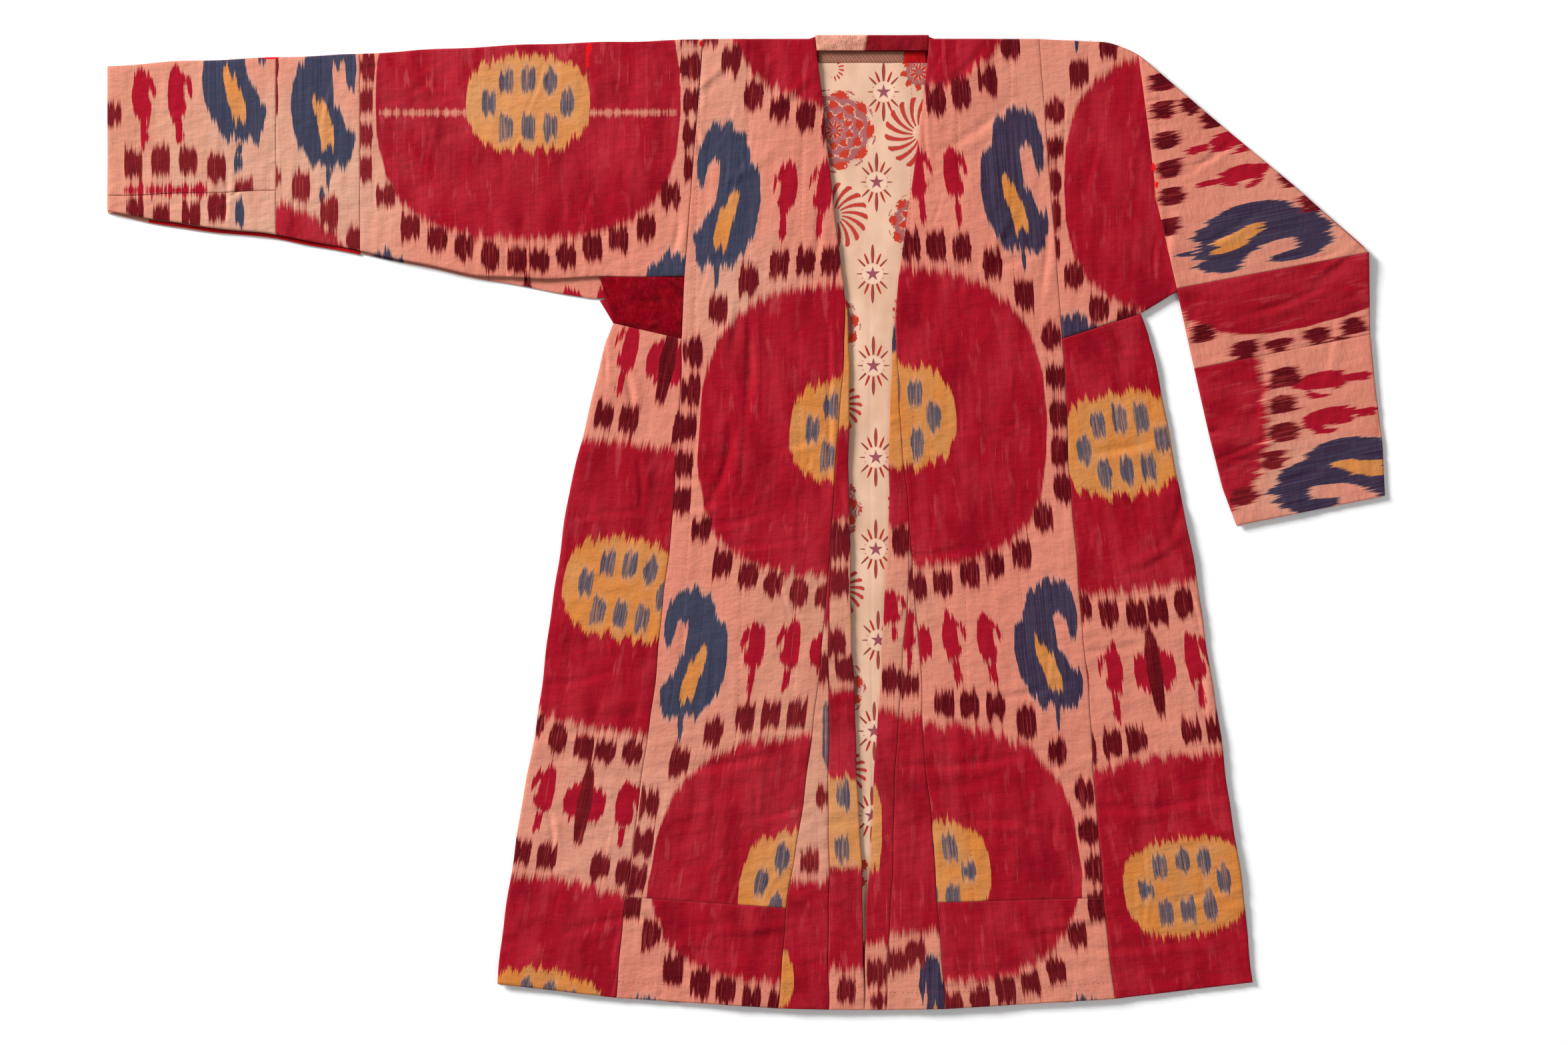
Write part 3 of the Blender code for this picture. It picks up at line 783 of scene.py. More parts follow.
def lay_fronts():
    """Both halves of the front, then the strips pieced on under them."""
    for hand, front in FRONTS.items():
        side_name, panel_name = "side_" + hand[0], "panel_" + hand[0]
        side_low, panel_low = front["low"]
        cloth_piece("cloth_front_body_" + hand, down_seam(side_name, 0.0, side_low),
                    down_seam(panel_name, 0.0, panel_low), front_top,
                    lambda side, down: (np.abs(side - seam(side_name, down)),
                                        from_anchors(down, front["downs"], front["warps"])),
                    dyes=repeat_dyes, material=front["cloth"])
    for hand, front in FRONTS.items():
        side_name, panel_name = "side_" + hand[0], "panel_" + hand[0]
        side_low, panel_low = front["low"]
        cloth_piece("cloth_front_hem_" + hand, down_seam(side_name, side_low),
                    down_seam(panel_name, panel_low), front_top,
                    lambda side, down: (np.abs(side - seam(side_name, down)), HEM_WARP - down),
                    dyes=repeat_dyes, material=front["cloth"])


lay_fronts()


def placed(stamps, weave):
    """Stamps given by side and down, taken to the cloth's own u and v."""
    taken = []
    for name, side, down, wide, tall, flip in stamps:
        u, v = weave(np.array([float(side)]), np.array([float(down)]))
        taken.append((name, float(np.ravel(u)[0]), float(np.ravel(v)[0]), wide, tall, flip))
    return taken


def upright(side, down):
    """A weave whose warp runs straight down: u and v are the place itself."""
    return side, -down


def lay_front_gores():
    """The strips and narrow gores at the front edges, cut from leftover stretches of the same cloth."""
    def dyed(rows, stamps):
        flat_rows = [(dye, -low, -high) for dye, high, low in rows]
        return lambda u, v: np.maximum(bands(v, flat_rows), dye_cloth(u, v, placed(stamps, upright)))
    strip_left = dyed(
        [(ORANGE, 340, 495), (RED, 250, 615), (RED, 828, 951), (ORANGE, 942, 1054),
         (RED, 1050, 1186)],
        [("square", -38, 640, 1, 1.4, 1), ("square", -40, 692, 1, 1.1, 1), ("square", -43, 770, 1, 1.1, 1),
         ("square", -32, 802, 1, 1, 1), ("square", -30, 1212, 1, 0.8, 1),
         ("spot", -35, 964, 1, 1, 1), ("spot", -36, 1032, 1, 1, 1)])
    gore_left = dyed(
        [(RED, 550, 750), (RED, 1072, 1250)],
        [("square", -58, 800, 1, 1.2, 1), ("spot", -56, 885, 0.5, 2.2, 1),
         ("square", -62, 966, 0.6, 0.7, 1), ("square", -78, 1048, 1, 0.9, 1),
         ("disc", -118, 1198, 0.24, 0.62, 1)])
    strip_right = dyed(
        [(BLUE, 364, 402), (ORANGE, 400, 542), (RED, 540, 622), (RED, 855, 1153)],
        [("square", 40, 640, 1, 1.0, 1), ("boteh", 30, 728, 1, 0.7, -1), ("square", 27, 816, 1, 1, 1),
         ("disc", 4, 1008, 0.14, 0.78, 1), ("square", 8, 1190, 1, 1, 1), ("square", 12, 1226, 1, 0.6, 1)])
    gore_right = dyed(
        [(RED, 510, 652), (RED, 862, 1140)],
        [("square", 55, 690, 1, 0.9, 1), ("boteh", 50, 756, 0.8, 0.8, -1), ("square", 50, 822, 1, 0.8, 1),
         ("square", 33, 1176, 1, 0.9, 1), ("square", 60, 1163, 1, 0.9, 1),
         ("pepper", 80, 1234, 0.45, 0.75, 1)])
    for hand, strip, gore in (("left", strip_left, gore_left), ("right", strip_right, gore_right)):
        panel, mid, edge = (name + hand[0] for name in ("panel_", "mid_", "edge_"))
        cloth = FRONTS[hand]["cloth"]
        cloth_piece("cloth_front_strip_" + hand, down_seam(mid, 332.0), down_seam(edge, 332.0),
                    front_top, upright, (3.6, 3.0), dyes=strip, material=cloth)
        cloth_piece("cloth_front_gore_" + hand, down_seam(panel, 610.0), down_seam(mid, 610.0),
                    front_top, upright, (3.6, 3.0), dyes=gore, material=cloth)


lay_front_gores()


def turned(middle_side, middle_down, degrees, downs, warps):
    """A weave whose warp leans by some degrees: u from the loom's own middle, v by anchors."""
    angle = math.radians(degrees)

    def weave(side, down):
        run = (side - middle_side) * math.sin(angle) + (middle_down - down) * math.cos(angle)
        off = (side - middle_side) * math.cos(angle) - (middle_down - down) * math.sin(angle)
        return LOOM / 2 + off, from_anchors(-run, downs, warps)
    return weave


def lay_side_gores():
    """The side gores, cut on the lean from the middle of the loom width."""
    left = turned(-313, 702, 10.7, (-330, -204, 0, 200, 276, 352, 555),
                  (330, 204, 0, -208, -295, -376, -590))
    right = turned(322, 517, -8.0, (-190, 0, 212, 290, 376, 565), (187, 0, -212, -295, -376, -590))
    cloth_piece("cloth_side_gore_left", down_seam("out_l", 362.0), down_seam("side_l", 382.0), front_top,
                left, dyes=repeat_dyes, material=ikat_left, sink=(1.3, 0.35, 0.35, 1.3))
    cloth_piece("cloth_side_gore_right", down_seam("out_r", 350.0), down_seam("side_r", 382.0), front_top,
                right, dyes=repeat_dyes, material=ikat_right, sink=(1.3, 0.35, 0.35, 1.3))


lay_side_gores()

# ---------------------------------------------------------------------------------------------
# Left sleeve, straight out: the main width, a band and a cuff, each back and front, and a strip of
# leftovers along the cuff's lower edge. Its cloth runs on from the shoulder.
# ---------------------------------------------------------------------------------------------
SLEEVE = {
    "side":      (-972, -900, -850, -757, -650, -580, -500, -420, -345, -237, -213),
    "top":       (35,   29,   27,   23,   19,   14,   10,   6,    4,    1,    0),
    "front_low": (219,  232,  239,  249,  270,  285,  302,  306,  303,  303,  303),
    "back_low":  (221,  238,  245,  252,  273,  288,  305,  319,  333,  303,  303),
    "pieced":    (200,  197.7, 196, 193,  193,  193,  193,  193,  193,  193,  193),
}
MOTIFS["binding"] = [oval(RESIST, 57, 4, 9.0)]
MOTIFS["bulb"] = [oval(BLUE, 6, 13, 2.0)]
MOTIFS["feathers"] = [oval(CRIMSON, 54, 11, 5.0)]


def sleeve_edge(name, start, end):
    """One edge of the left sleeve from a start side to an end side."""
    def line(share):
        side = start + (end - start) * share
        near = [np.interp(side + shift, SLEEVE["side"], SLEEVE[name]) for shift in (-12.0, 0.0, 12.0)]
        down = sum(near) / 3.0
        return np.stack((side, down + 0.5 * np.sin(side / 17.0)), axis=-1)
    return line


def lay_left_sleeve():
    """The three parts of the sleeve, back then front."""
    armpit = float(seam("side_l", 303.0))
    top_start = float(seam("side_l", 0.0))
    across = lambda side, down: (side + 656.0, (82.0 - down) * 1.08)
    main_extra = [("binding", -570, 94, 1, 1, 1), ("binding", -302, 94, 1, 1, 1)]
    band_stamps = [("pepper", -696, 76, 1, 1, -1), ("bulb", -698, 200, 0.7, 0.7, 1),
                   ("square", -725, 188, 0.95, 1, 1), ("square", -689, 222, 0.95, 1, 1),
                   ("square", -656, 257, 0.9, 0.8, 1), ("square", -762, 176, 0.9, 0.7, 1),
                   ("medallion", -840, 390, 1, 1, 1), ("square", -764, 34, 0.9, 0.8, 1),
                   ("square", -764, 76, 0.8, 1.2, 1)]
    cuff_stamps = [("boteh", -926, 76, 1, 1, -1), ("boteh", -880, 74, 1, 1, -1),
                   ("pepper", -809, 42, 1, 1, -1), ("bulb", -805, 158, 1.1, 0.9, 1),
                   ("square", -964, 96, 0.8, 0.9, 1), ("square", -939, 160, 0.9, 1, 1),
                   ("square", -904, 156, 0.95, 1.05, 1), ("square", -869, 155, 0.95, 1, 1),
                   ("square", -832, 164, 0.95, 1.05, 1), ("square", -797, 193, 0.95, 0.8, 1),
                   ("feathers", -898, 193, 1, 0.6, 1)]
    strip_stamps = [("square", -936, 217, 0.9, 0.8, 1), ("square", -903, 226, 0.9, 0.9, 1),
                    ("square", -865, 225, 0.95, 1, 1), ("square", -832, 214, 0.95, 1, 1),
                    ("bulb", -803, 222, 1, 1.5, 1), ("feathers", -898, 193, 1, 0.6, 1)]
    hand_dyes = lambda stamps: (lambda u, v: dye_cloth(u, v, placed(stamps, upright)))
    main_dyes = lambda u, v: dye_cloth(u, v, CHART + placed(main_extra, across))
    parts = (("main", top_start, -650.0, across, main_dyes),
             ("band", -650.0, -757.0, upright, hand_dyes(band_stamps)),
             ("cuff", -757.0, -972.0, upright, hand_dyes(cuff_stamps)))
    for face, top in (("back", back_top), ("front", front_top)):
        for part, start, end, weave, dyes in parts:
            low_name = "pieced" if (part, face) == ("cuff", "front") else face + "_low"
            first = sleeve_edge("top", start, end)
            low_start = armpit if part == "main" else start
            second = sleeve_edge(low_name, low_start, end)
            edge_low = 0.35 if low_name == "pieced" else 1.3
            sink = (1.3, edge_low, 0.35, 1.3 if part == "cuff" else 0.35)
            if face == "back":
                sink = LIFTED
            spacing, flat_under = ((6.0, 8.0), under_face) if face == "back" else ((2.4, 4.4), None)
            cloth_piece("cloth_sleeve_left_%s_%s" % (part, face), first, second, top, weave, spacing,
                        dyes=dyes, material=ikat_left, sink=sink, flat_under=flat_under)
    cloth_piece("cloth_sleeve_left_cuff_strip", sleeve_edge("pieced", -757.0, -972.0),
                sleeve_edge("front_low", -757.0, -972.0), front_top, upright, (2.2, 3.0),
                dyes=hand_dyes(strip_stamps), material=ikat_left, sink=(0.35, 1.3, 0.35, 1.3))


lay_left_sleeve()

# ---------------------------------------------------------------------------------------------
# Right sleeve: it runs out under the fold, turns over on a slant, and lies down across itself, so
# that its back is on top. Main width, band and cuff again, back and front.
# ---------------------------------------------------------------------------------------------
UNDER_FOLD = {"upper": ((215, 0), (305, 4), (340, 18), (400, 70), (470, 130), (550, 196), (629, 265)),
              "lower": ((245, 382), (295, 365.8), (344.6, 350), (390, 322), (470, 306), (550, 289),
                        (632, 272))}
FOLDED = {"upper": ((341, 21), (353, 110), (365, 210), (390, 318),
                    (413, 420), (431, 500), (449, 572), (467, 620)),
          "lower": ((346, 24), (440, 104), (540, 187), (635, 272),
                    (637, 376), (644, 445), (653, 515), (656, 582))}
SLEEVE_CREASES = {
    "side":   (450, 530, 590, 370, 390, 490, 410, 550, 480, 580, 430),
    "down":   (240, 330, 280, 250, 380, 450, 510, 550, 515, 390, 150),
    "length": (150, 130, 110, 160, 120, 130, 110, 120, 150, 120, 100),
    "turn":   (30, 20, 38, 84, 60, 78, 26, 20, 24, 80, 34),
    "width":  (4.0, 4.0, 4.0, 4.5, 3.6, 4.2, 3.2, 3.6, 3.0, 4.0, 3.6),
    "depth":  (0.8, 0.9, -0.8, 0.9, 0.8, 0.8, 0.7, 0.8, 1.0, 0.7, 0.7),
    "bow":    (8, 6, 4, 8, 6, 8, 4, 6, 5, 6, 4),
}


def fold_fall(side, down):
    """From 0 on the sleeve to 1 past it, where the folded part has come down to the surface."""
    past = np.clip((down + 0.188 * (side - 390.0) - 318.0) / 103.0, 0.0, 1.0)
    return past * past * (3.0 - 2.0 * past)


def folded_top(rise, relief):
    """The upper face of a folded layer that lies rise above the first one."""
    def top(side, down):
        own = wrinkles(side, down) + crease_relief(side, down, SLEEVE_CREASES)
        lift = np.maximum(own + 1.8, 0.15 * own) if relief else 0.0
        return 6.5 + rise - 4.6 * fold_fall(side, down) + lift
    return top


def squares(size, *places):
    """Plum squares of one size at some places."""
    return [("square", side, down, size, size, 1) for side, down in places]


def lay_right_sleeve():
    """The part under the fold, then the three parts folded over it."""
    under_weave = lambda side, down: (side - 221.0, (185.0 - down) * 1.08)
    upper, lower = through(*UNDER_FOLD["upper"]), through(*UNDER_FOLD["lower"])
    cloth_piece("cloth_sleeve_right_under_back", upper, lower, back_top, under_weave, (6.0, 8.0),
                dyes=repeat_dyes, material=ikat_right, sink=LIFTED, flat_under=under_face)
    under_dyes = lambda u, v: dye_cloth(u, v, CHART + [("pepper", 50, -268, 1, 1, 1)])
    cloth_piece("cloth_sleeve_right_under_front", upper, lower, front_top, under_weave, (2.4, 4.4),
                dyes=under_dyes, material=ikat_right, sink=(0.6, 1.3, 0.35, 0.6))
    lean = math.radians(12.0)
    grain = lambda side, down: (side * math.sin(lean) + down * math.cos(lean),
                                side * math.cos(lean) - down * math.sin(lean))
    main = squares(0.9, (371, 55), (373, 91), (408, 86), (376, 130), (381, 166), (384, 201), (378, 240),
                   (439, 101), (536, 178), (564, 208))
    main += [("boteh", 459, 131, 1, 1, -1), ("boteh", 471, 175, 1, 1, -1),
             ("pepper", 498, 248, 1, 1, -1),
             ("feathers", 376, 60, 0.12, 0.9, 1), ("feathers", 379, 98, 0.10, 0.9, 1)]
    band = [("medallion", 512, 177, 1, 1, 1)]
    band += squares(0.9, (423, 375), (477, 396), (521, 393), (570, 379), (616, 365), (598, 390))
    cuff = [("medallion", 312, 455, 1, 1, 1), ("boteh", 580, 438, 1.05, -1, -1),
            ("boteh", 590, 483, 1.05, -1, -1), ("pepper", 598, 552, 1, -1, -1)]
    cuff += squares(0.95, (528, 430), (525, 465), (526, 500), (514, 537), (475, 582))
    parts = (("main", 0, 4, main), ("band", 3, 5, band), ("cuff", 4, 8, cuff))
    for face, rise, relief, spacing in (("front", 0.0, False, (6.0, 8.0)), ("back", 2.3, True, (2.4, 4.4))):
        for part, start, end, stamps in parts:
            first, second = (through(*FOLDED[edge][start:end]) for edge in ("upper", "lower"))
            taken = placed(stamps, grain)
            edge_low = 2.2 if relief and part == "main" else 1.0
            cloth_piece("cloth_sleeve_right_%s_%s" % (part, face), first, second, folded_top(rise, relief),
                        grain, spacing, dyes=lambda u, v: dye_cloth(u, v, taken), material=ikat_right,
                        sink=(1.0, edge_low, 0.35, 0.35))


lay_right_sleeve()

# ---------------------------------------------------------------------------------------------
# Underarm gusset of the left sleeve: a square of plain dark red cotton folded in two, faded to
# lilac pink where it is worn.
# ---------------------------------------------------------------------------------------------
def plain_cloth(name, first, second, share, fleck, seed, rib=1.2, shade=0.1):
    """Plain cotton of two colours, mixed by a share of the map, with flecks of a third, and painted shade
    in the hollows of its crumples, as strong as shade gives.
    """
    material, surface, weaver = new_material(name)
    u, v = weaver.cloth_map()
    cloud = weaver.noise(u * 0.06, v * 0.05, seed, 4.0)
    grain = weaver.noise(u * 0.9, v * 0.12, seed + 5.0, 3.0)
    weft = weaver.noise(u * 0.1, v * rib, seed + 9.0, 2.0)
    colour = weaver.mix(share(weaver, u, v, cloud), first, second)
    colour = weaver.mix((grain * 0.6 + cloud * 0.4).within(0.5, 0.66) * 0.6, colour, fleck)
    crumple = weaver.noise(u * 0.045 + v * 0.02, v * 0.05, seed + 13.0, 4.0)
    # Painted shade: where the crumple relief is low, in its hollows, the colour darkens towards near-black
    # red by the share shade gives.
    colour = weaver.mix(crumple.within(0.50, 0.36) * shade, colour, (0.085, 0.002, 0.004))
    height = weft * 0.3 + grain * 0.4 + crumple * 5.0
    finish_surface(weaver, surface, colour, height, 0.85 + (grain - 0.5) * 0.1, 1.0, 0.0012)
    return material


def lay_gussets():
    """Both faces of the gusset: the back one shows as a sliver past the sleeve's lower edge."""
    worn = lambda weaver, u, v, cloud: ((u + v * 0.35 + (cloud - 0.5) * 40.0).within(-262.0, -254.0))
    # The gusset's folds get strong painted shade (shade=0.8) in the hollows of its crumples.
    red_cotton = plain_cloth("gusset_cotton", (0.205, 0.001, 0.006), (0.55, 0.185, 0.165), worn,
                             (0.30, 0.012, 0.020), 51.0, shade=0.8)
    scraps = lambda u, v: dye_cloth(u, v, placed([
        ("square", -332, 316, 1.2, 0.9, 1), ("square", -275, 348, 1, 1, 1),
        ("disc", -305, 328, 0.3, 0.25, 1), ("medallion", -340, 350, 0.2, 0.2, 1)], upright))
    tip_out = (float(seam("out_l", 362.0)), 362.0)
    tip_in = (float(seam("side_l", 382.0)), 382.0)
    armpit = (float(seam("side_l", 303.0)), 303.0)
    low = through(tip_out, tip_in)
    cloth_piece("cloth_gusset_left_back", through((-345, 333), armpit), low, back_top, upright, (4.0, 4.0),
                dyes=scraps, material=ikat_left, sink=LIFTED, flat_under=under_face)
    cloth_piece("cloth_gusset_left_front", through((-345, 303), armpit), low, front_top, upright,
                (2.8, 2.8), material=red_cotton, sink=(0.35, 0.35, 1.3, 0.35))


lay_gussets()

# ---------------------------------------------------------------------------------------------
# Neck: a band of printed scraps along the top, a facing of brown striped cotton under it, and a
# bright red end of lining at its right.
# ---------------------------------------------------------------------------------------------
def striped_cotton(name, seed):
    """Brown cotton printed with slanting lines of cream, madder and slate."""
    material, surface, weaver = new_material(name)
    u, v = weaver.cloth_map()
    slant = u * 0.8 + v * 0.55
    waves = [weaver.math("SINE", slant * pitch + weaver.noise(u * 0.2, v * 0.2, seed) * 1.5)
             for pitch in (2.1, 3.4, 5.3)]
    colour = weaver.mix(waves[0].within(0.1, 0.5), (0.24, 0.10, 0.06), (0.42, 0.21, 0.12))
    colour = weaver.mix(waves[1].within(0.5, 0.8) * 0.8, colour, (0.33, 0.028, 0.020))
    colour = weaver.mix(waves[2].within(0.6, 0.9) * 0.6, colour, (0.10, 0.13, 0.15))
    rough = weaver.noise(u * 0.9, v * 0.9, seed + 2.0, 3.0)
    finish_surface(weaver, surface, colour, rough, 0.85 + (rough - 0.5) * 0.1)
    return material


def lay_neck():
    """Band, facing, the red end of lining, and the red lining that peeps out under the left sleeve."""
    split = lambda weaver, u, v, cloud: (u + (cloud - 0.5) * 20.0).within(-9.0, -4.0)
    band_cotton = plain_cloth("neck_band_cotton", (0.66, 0.30, 0.21), (0.22, 0.006, 0.012), split,
                              (0.23, 0.022, 0.028), 61.0)
    brown_cotton = striped_cotton("facing_cotton", 71.0)
    even = lambda weaver, u, v, cloud: cloud.within(0.3, 0.8)
    scarlet = plain_cloth("red_lining_cotton", (0.46, 0.007, 0.010), (0.36, 0.004, 0.008), even,
                          (0.56, 0.02, 0.02), 81.0)
    cloth_piece("cloth_neck_band", down_seam("panel_l", -5.0, 15.0), down_seam("panel_r", -5.0, 15.0),
                front_top, upright, (2.4, 2.4), material=band_cotton,
                sink=(0.35, 0.35, 1.3, 0.35))
    inner = lambda side, down: 3.5 + 0.35 * unevenness(side, down, 14.0, 9.0, 21)
    cloth_piece("cloth_neck_facing", through((-66, 15), (43, 15)), through((-66, 30), (43, 30)), inner,
                upright, (2.4, 2.4), material=brown_cotton, sink=(0.3, 0.3, 0.3, 0.3))
    cloth_piece("cloth_neck_lining", through((43, 15), (71, 15)), through((43, 30), (71, 30)), inner,
                upright, (2.4, 2.4), material=scarlet, sink=(0.3, 0.3, 0.3, 0.3))
    cloth_piece("cloth_sleeve_left_lining",
                lambda share: sleeve_edge("front_low", -650.0, -920.0)(share) + (0.0, 0.2),
                lambda share: sleeve_edge("front_low", -650.0, -920.0)(share) + (0.0, 5.0),
                lambda side, down: 3.0 + 0.3 * np.sin(side / 9.0), upright, (2.4, 2.4), material=scarlet,
                sink=(0.2, 0.2, 0.2, 0.2))


lay_neck()

# ---------------------------------------------------------------------------------------------
# Lining: thin cream cotton printed with suns in a row, and with mauve and red flowers and folded
# ribbons at both sides of the row. It shows in the front opening.
# ---------------------------------------------------------------------------------------------
SUNS = ((17, 67), (8, 182), (3, 299), (4, 416), (7, 533), (7, 650), (10, 766),
        (5, 882), (2, 990))
FLOWERS = (((-46, 116), 50), ((-52, 366), 36), ((-54, 599), 40), ((-47, 827), 38), ((62, 42), 20),
           ((62, 234), 36), ((64, 470), 36), ((62, 710), 34), ((-40, 1060), 34))
RIBBONS = (((-26, 225), 17, 37), ((-22, 469), 14, 26), ((-20, 703), 14, 27), ((-16, 935), 12, 26),
           ((-30, 38), 12, 11), ((44, 119), 14, 40), ((40, 347), 12, 26), ((38, 590), 12, 30))


def nearest(side, down, centres):
    """The offset of every point from the nearest of some centres, and which one it is."""
    gaps = [(side - a) ** 2 + (down - b) ** 2 for a, b in centres]
    chosen = np.argmin(gaps, axis=0)
    a, b = np.array(centres, float).T
    return side - a[chosen], b[chosen] - down, chosen, np.sqrt(np.min(gaps, axis=0))


def printed_lining():
    """Cream cotton with its print: polar figures about the centres given in the two maps."""
    material, surface, weaver = new_material("lining_cotton", 0.9)
    u, v = weaver.cloth_map()
    wobble = weaver.noise(u * 0.35, v * 0.35, 91.0, 2.0) - 0.5
    fine = weaver.noise(u * 1.3, v * 1.3, 93.0, 3.0)
    cloud = weaver.noise(u * 0.03, v * 0.02, 95.0, 3.0)
    colour = weaver.mix(cloud.within(0.3, 0.75), (0.76, 0.49, 0.35), (0.62, 0.37, 0.245))
    x, y, reach = weaver.read("ribbon")
    far = weaver.math("SQRT", x * x + y * y)
    stripes = weaver.math("SINE", (weaver.math("ARCTAN2", y, x) + far * 0.012 + wobble * 0.06) * 17.0)
    ribbon = (far - 10.0).within(-0.4, 0.4) * (reach - far + stripes * 2.0).within(-0.4, 0.4)
    shade = weaver.mix(stripes.within(0.45, 0.6), (0.33, 0.10, 0.11), (0.50, 0.040, 0.024))
    colour = weaver.mix(ribbon * stripes.within(0.0, 0.12), colour, shade)
    x, y, reach = weaver.read("flower")
    far = weaver.math("SQRT", x * x + y * y) + wobble * 3.0
    turn = weaver.math("ARCTAN2", y, x) + wobble * 0.5
    layer = weaver.math("FRACT", far * 0.078)
    petals = weaver.math("COSINE", turn * 9.0 + weaver.math("FLOOR", far * 0.078) * 2.1)
    shown = (reach - far + petals * 4.0).within(-0.5, 0.5) * reach.within(0.0, 6.0)
    colour = weaver.mix(shown, colour, (0.36, 0.115, 0.115))
    tip = (petals * 0.30 + 0.72 - layer).within(-0.03, 0.05) * (layer + petals * 0.2).within(0.30, 0.42)
    colour = weaver.mix(shown * tip, colour, (0.50, 0.040, 0.022))
    line = (0.10 - weaver.math("ABSOLUTE", petals * 0.30 + 0.80 - layer)).within(0.0, 0.06)
    colour = weaver.mix(shown * line * 0.9, colour, (0.70, 0.43, 0.31))
    x, y, reach = weaver.read("sun")
    far = weaver.math("SQRT", x * x + y * y) + wobble * 1.2
    turn = weaver.math("ARCTAN2", y, x)
    drawn = reach.within(0.0, 1.0)
    rays = weaver.math("COSINE", turn * 16.0)
    upright = weaver.math("ABSOLUTE", weaver.math("SINE", turn))
    length = upright * upright * upright * 17.0 + 21.0 + weaver.math("COSINE", turn * 8.0) * 3.0
    taper = (length - far).within(0.0, 15.0)
    ray = (rays + taper * 1.15 - 1.22).within(-0.03, 0.08) * (far - 13.5).within(-0.2, 0.4) * drawn
    other = weaver.math("SINE", turn * 8.0 + 0.3).within(-0.2, 0.2)
    colour = weaver.mix(ray, colour, weaver.mix(other, (0.43, 0.030, 0.020), (0.25, 0.060, 0.045)))
    colour = weaver.mix((12.4 - far).within(-0.3, 0.3) * drawn, colour, (0.76, 0.50, 0.36))
    fifth = weaver.math("PINGPONG", turn - 1.5708, 0.62832)
    star = weaver.math("COSINE", 1.2566 - fifth) * far
    colour = weaver.mix((3.1 - star).within(-0.3, 0.3) * drawn, colour, (0.28, 0.075, 0.095))
    height = fine * 0.7 + cloud * 0.6
    finish_surface(weaver, surface, colour, height, 0.88 + (fine - 0.5) * 0.1)
    return material


def lay_lining():
    """The lining of the back, seen in the opening, with gentle folds down its length."""
    def top(side, down):
        folds = 0.45 * unevenness(side + 0.1 * down, down, 13.0, 150.0, 23)
        folds = folds + 0.2 * unevenness(side, down, 20.0, 16.0, 24)
        off_seam = side - (-3.0 + 0.006 * down)
        return 3.45 + folds - 0.3 * np.exp(-(off_seam / 1.5) ** 2)
    first = lambda share: down_seam("edge_l", 30.0, 1150.0)(share) - (15.0, 0.0)
    second = lambda share: down_seam("edge_r", 30.0, 1150.0)(share) + (15.0, 0.0)
    piece = cloth_piece("cloth_lining_back", first, second, top, upright, (3.0, 2.4),
                        material=printed_lining(), sink=(0.2, 0.2, 0.2, 0.2))
    mesh = piece.data
    places = np.empty(len(mesh.vertices) * 3, dtype=np.float32)
    mesh.vertices.foreach_get("co", places)
    side = places[0::3] / MM - CENTRE_SIDE
    down = CENTRE_DOWN - places[1::3] / MM
    x, y, _, far = nearest(side, down, SUNS)
    put_vector(mesh, "sun", [x, y, 46.0 - far])
    x, y, chosen, far = nearest(side, down, [place for place, _ in FLOWERS])
    size = np.array([size for _, size in FLOWERS], float)[chosen]
    put_vector(mesh, "flower", [x, y, np.where(far < size + 8.0, size, -20.0)])
    x, y, chosen, far = nearest(side, down, [place for place, _, _ in RIBBONS])
    lean = np.where(np.array([place[0] for place, _, _ in RIBBONS])[chosen] < 0.0, 20.0, -20.0)
    reach = np.array([tall for _, _, tall in RIBBONS], float)[chosen]
    put_vector(mesh, "ribbon", [x + lean, y, np.where(far < reach + 12.0, reach + 4.0, -20.0)])


lay_lining()

# ---------------------------------------------------------------------------------------------
# Stitching: lines of running stitch quilt the fronts to their lining, a line holds the hem, and
# loose thread ends stand at the worn edges.
# ---------------------------------------------------------------------------------------------
def thread_piece(name, courses, thickness, colour):
    """Many short threads joined in one mesh: each a four-sided strand carried along its places, whose
    sides stand across, above, across and below it at half a thickness."""
    course = np.stack(courses)
    along = np.gradient(course, axis=1)
    across = np.stack((-along[..., 1], along[..., 0], 0.0 * along[..., 0]), -1)
    across /= np.maximum(np.linalg.norm(across, axis=-1, keepdims=True), 1e-6)
    lift = np.zeros_like(across) + (0.0, 0.0, 1.0)
    points = course[:, :, None] + 0.5 * thickness * np.stack((across, lift, -across, -lift), 2)
    side, down, height = np.moveaxis(points.reshape(-1, 3), -1, 0)
    world = np.stack(((side + CENTRE_SIDE) * MM, (CENTRE_DOWN - down) * MM, height * MM), -1)
    index = np.arange(len(world)).reshape(points.shape[:3])
    after = np.roll(index, -1, axis=2)
    walls = np.stack((index[:, 1:], after[:, 1:], after[:, :-1], index[:, :-1]), -1).reshape(-1, 4)
    faces = np.concatenate((walls, index[:, 0], index[:, -1, ::-1]))
    mesh = bpy.data.meshes.new(name)
    mesh.from_pydata(world.tolist(), [], faces.tolist())
    mesh.shade_smooth()
    piece = bpy.data.objects.new(name, mesh)
    bpy.context.scene.collection.objects.link(piece)
    material, surface, _ = new_material(name + "_cotton", 0.8)
    surface.inputs["Base Color"].default_value = (*colour, 1.0)
    mesh.materials.append(material)
    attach(piece, "root")


STITCH = 6.0                # from one stitch of the quilting to the next


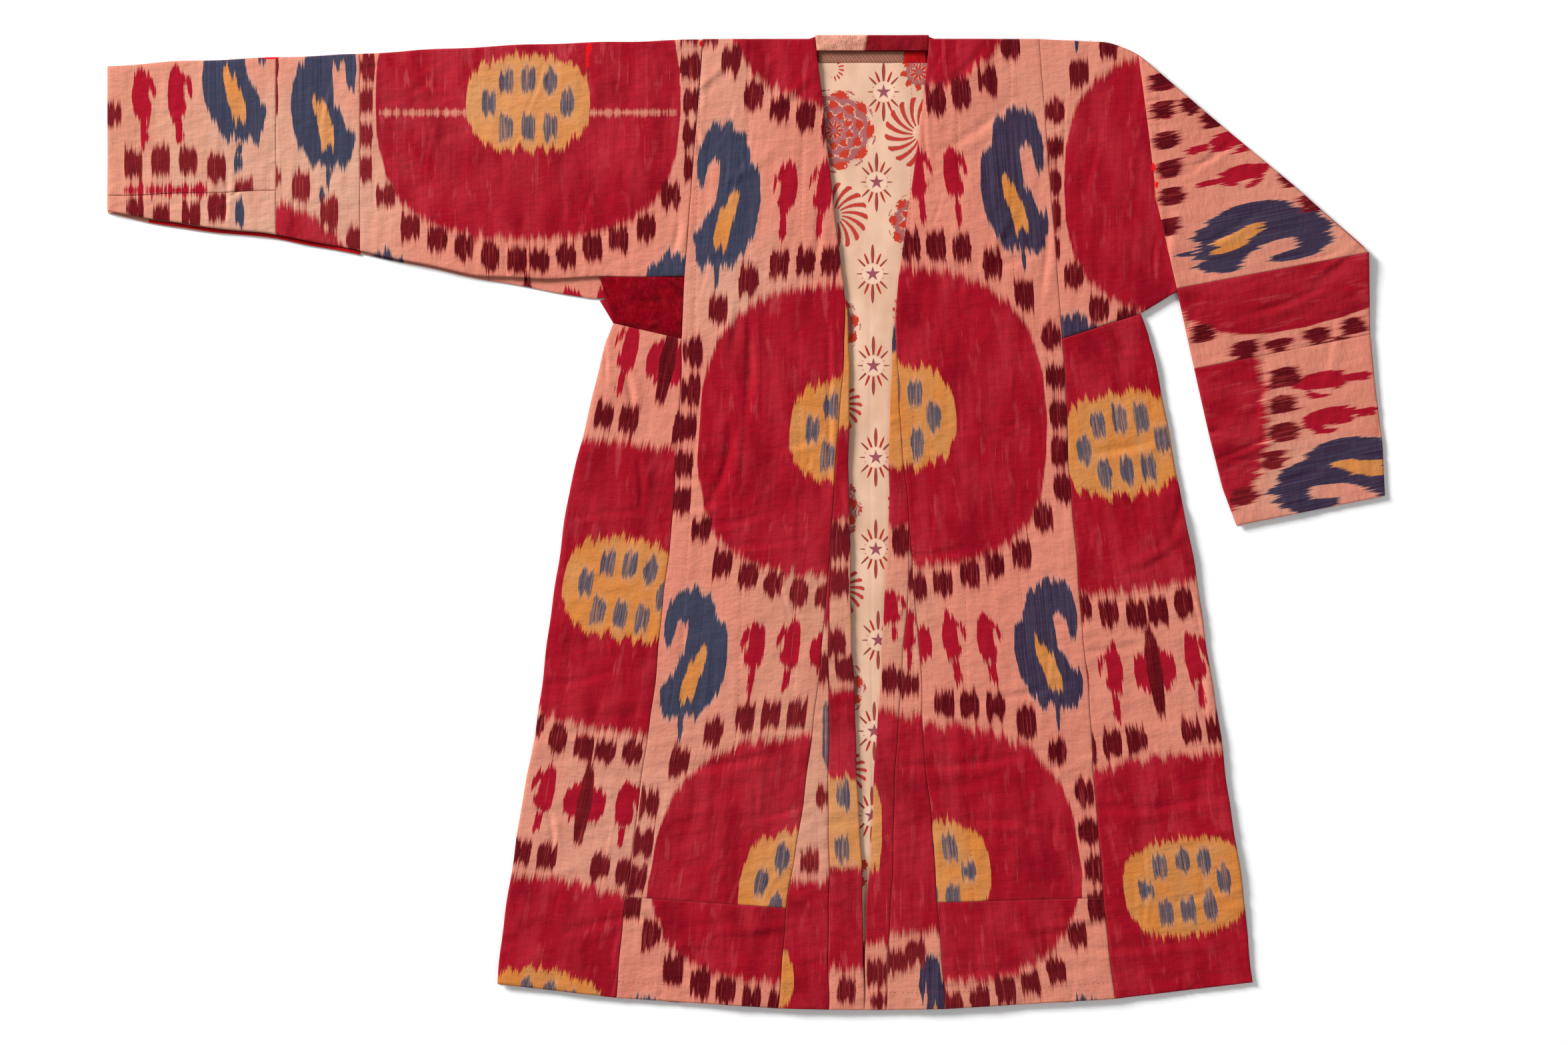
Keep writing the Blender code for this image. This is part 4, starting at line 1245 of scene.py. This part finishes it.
def running_stitch(line, start, end, share, seed):
    """Stitches down a line on the fronts: each shows for a share of its pitch, and dips at both ends."""
    chance = np.random.default_rng(seed)
    made = []
    place = start
    while place < end:
        length = STITCH * share * chance.uniform(0.8, 1.2)
        run = place + np.linspace(0.0, length, 4)
        side, down = line(run)
        side = side + chance.uniform(-0.3, 0.3)
        height = front_top(side, down) + np.array((-0.3, 0.12, 0.12, -0.3))
        made.append(np.stack((side, down, height), -1))
        place += STITCH * chance.uniform(0.85, 1.15)
    return made


def sew():
    """The quilting of both fronts, the hem and the loose ends."""
    stitches = []
    for hand, starts in (("left", (20.0, 20.0, 30.0)), ("right", (30.0, 20.0, 20.0))):
        for number, line in enumerate(QUILTING[hand]):
            seed = number + (10 if hand == "left" else 20)
            stitches += running_stitch(lambda run: (quilt_line(line, run), run), starts[number], 1222.0,
                                       0.42, seed)
    above_hem = lambda run: (run, hem(run) - 22.0)
    stitches += running_stitch(above_hem, -470.0, -12.0, 0.45, 31)
    stitches += running_stitch(above_hem, -2.0, 482.0, 0.45, 32)
    thread_piece("quilting_thread", stitches, 0.45, (0.27, 0.03, 0.04))
    chance = np.random.default_rng(5)
    ends = []
    for low_side, high_side, count in ((-300.0, -160.0, 22), (-960.0, -660.0, 26), (230.0, 330.0, 10)):
        for _ in range(count):
            side = chance.uniform(low_side, high_side)
            edge = np.interp(side, SLEEVE["side"], SLEEVE["top"]) if side < 0.0 else 2.0
            down = edge + 1.5
            reach = chance.uniform(1.2, 4.0)
            share = np.linspace(0.0, 1.0, 5)
            bend = chance.uniform(-3.0, 3.0)
            ends.append(np.stack((side + bend * share ** 2, down - reach * share, 3.6 - 1.6 * share), -1))
    thread_piece("loose_threads", ends, 0.3, (0.55, 0.16, 0.12))


sew()
final_low, final_high = None, None
for piece in bpy.context.scene.objects:
    if piece.type == "MESH" and piece.name != "floor":
        corners = np.empty(len(piece.data.vertices) * 3, dtype=np.float32)
        piece.data.vertices.foreach_get("co", corners)
        corners = corners.reshape(-1, 3)
        final_low = corners.min(0) if final_low is None else np.minimum(final_low, corners.min(0))
        final_high = corners.max(0) if final_high is None else np.maximum(final_high, corners.max(0))
({"cad": [list(map(float, corner)) for corner in cad_box],
           "final": [final_low.tolist(), final_high.tolist()]})
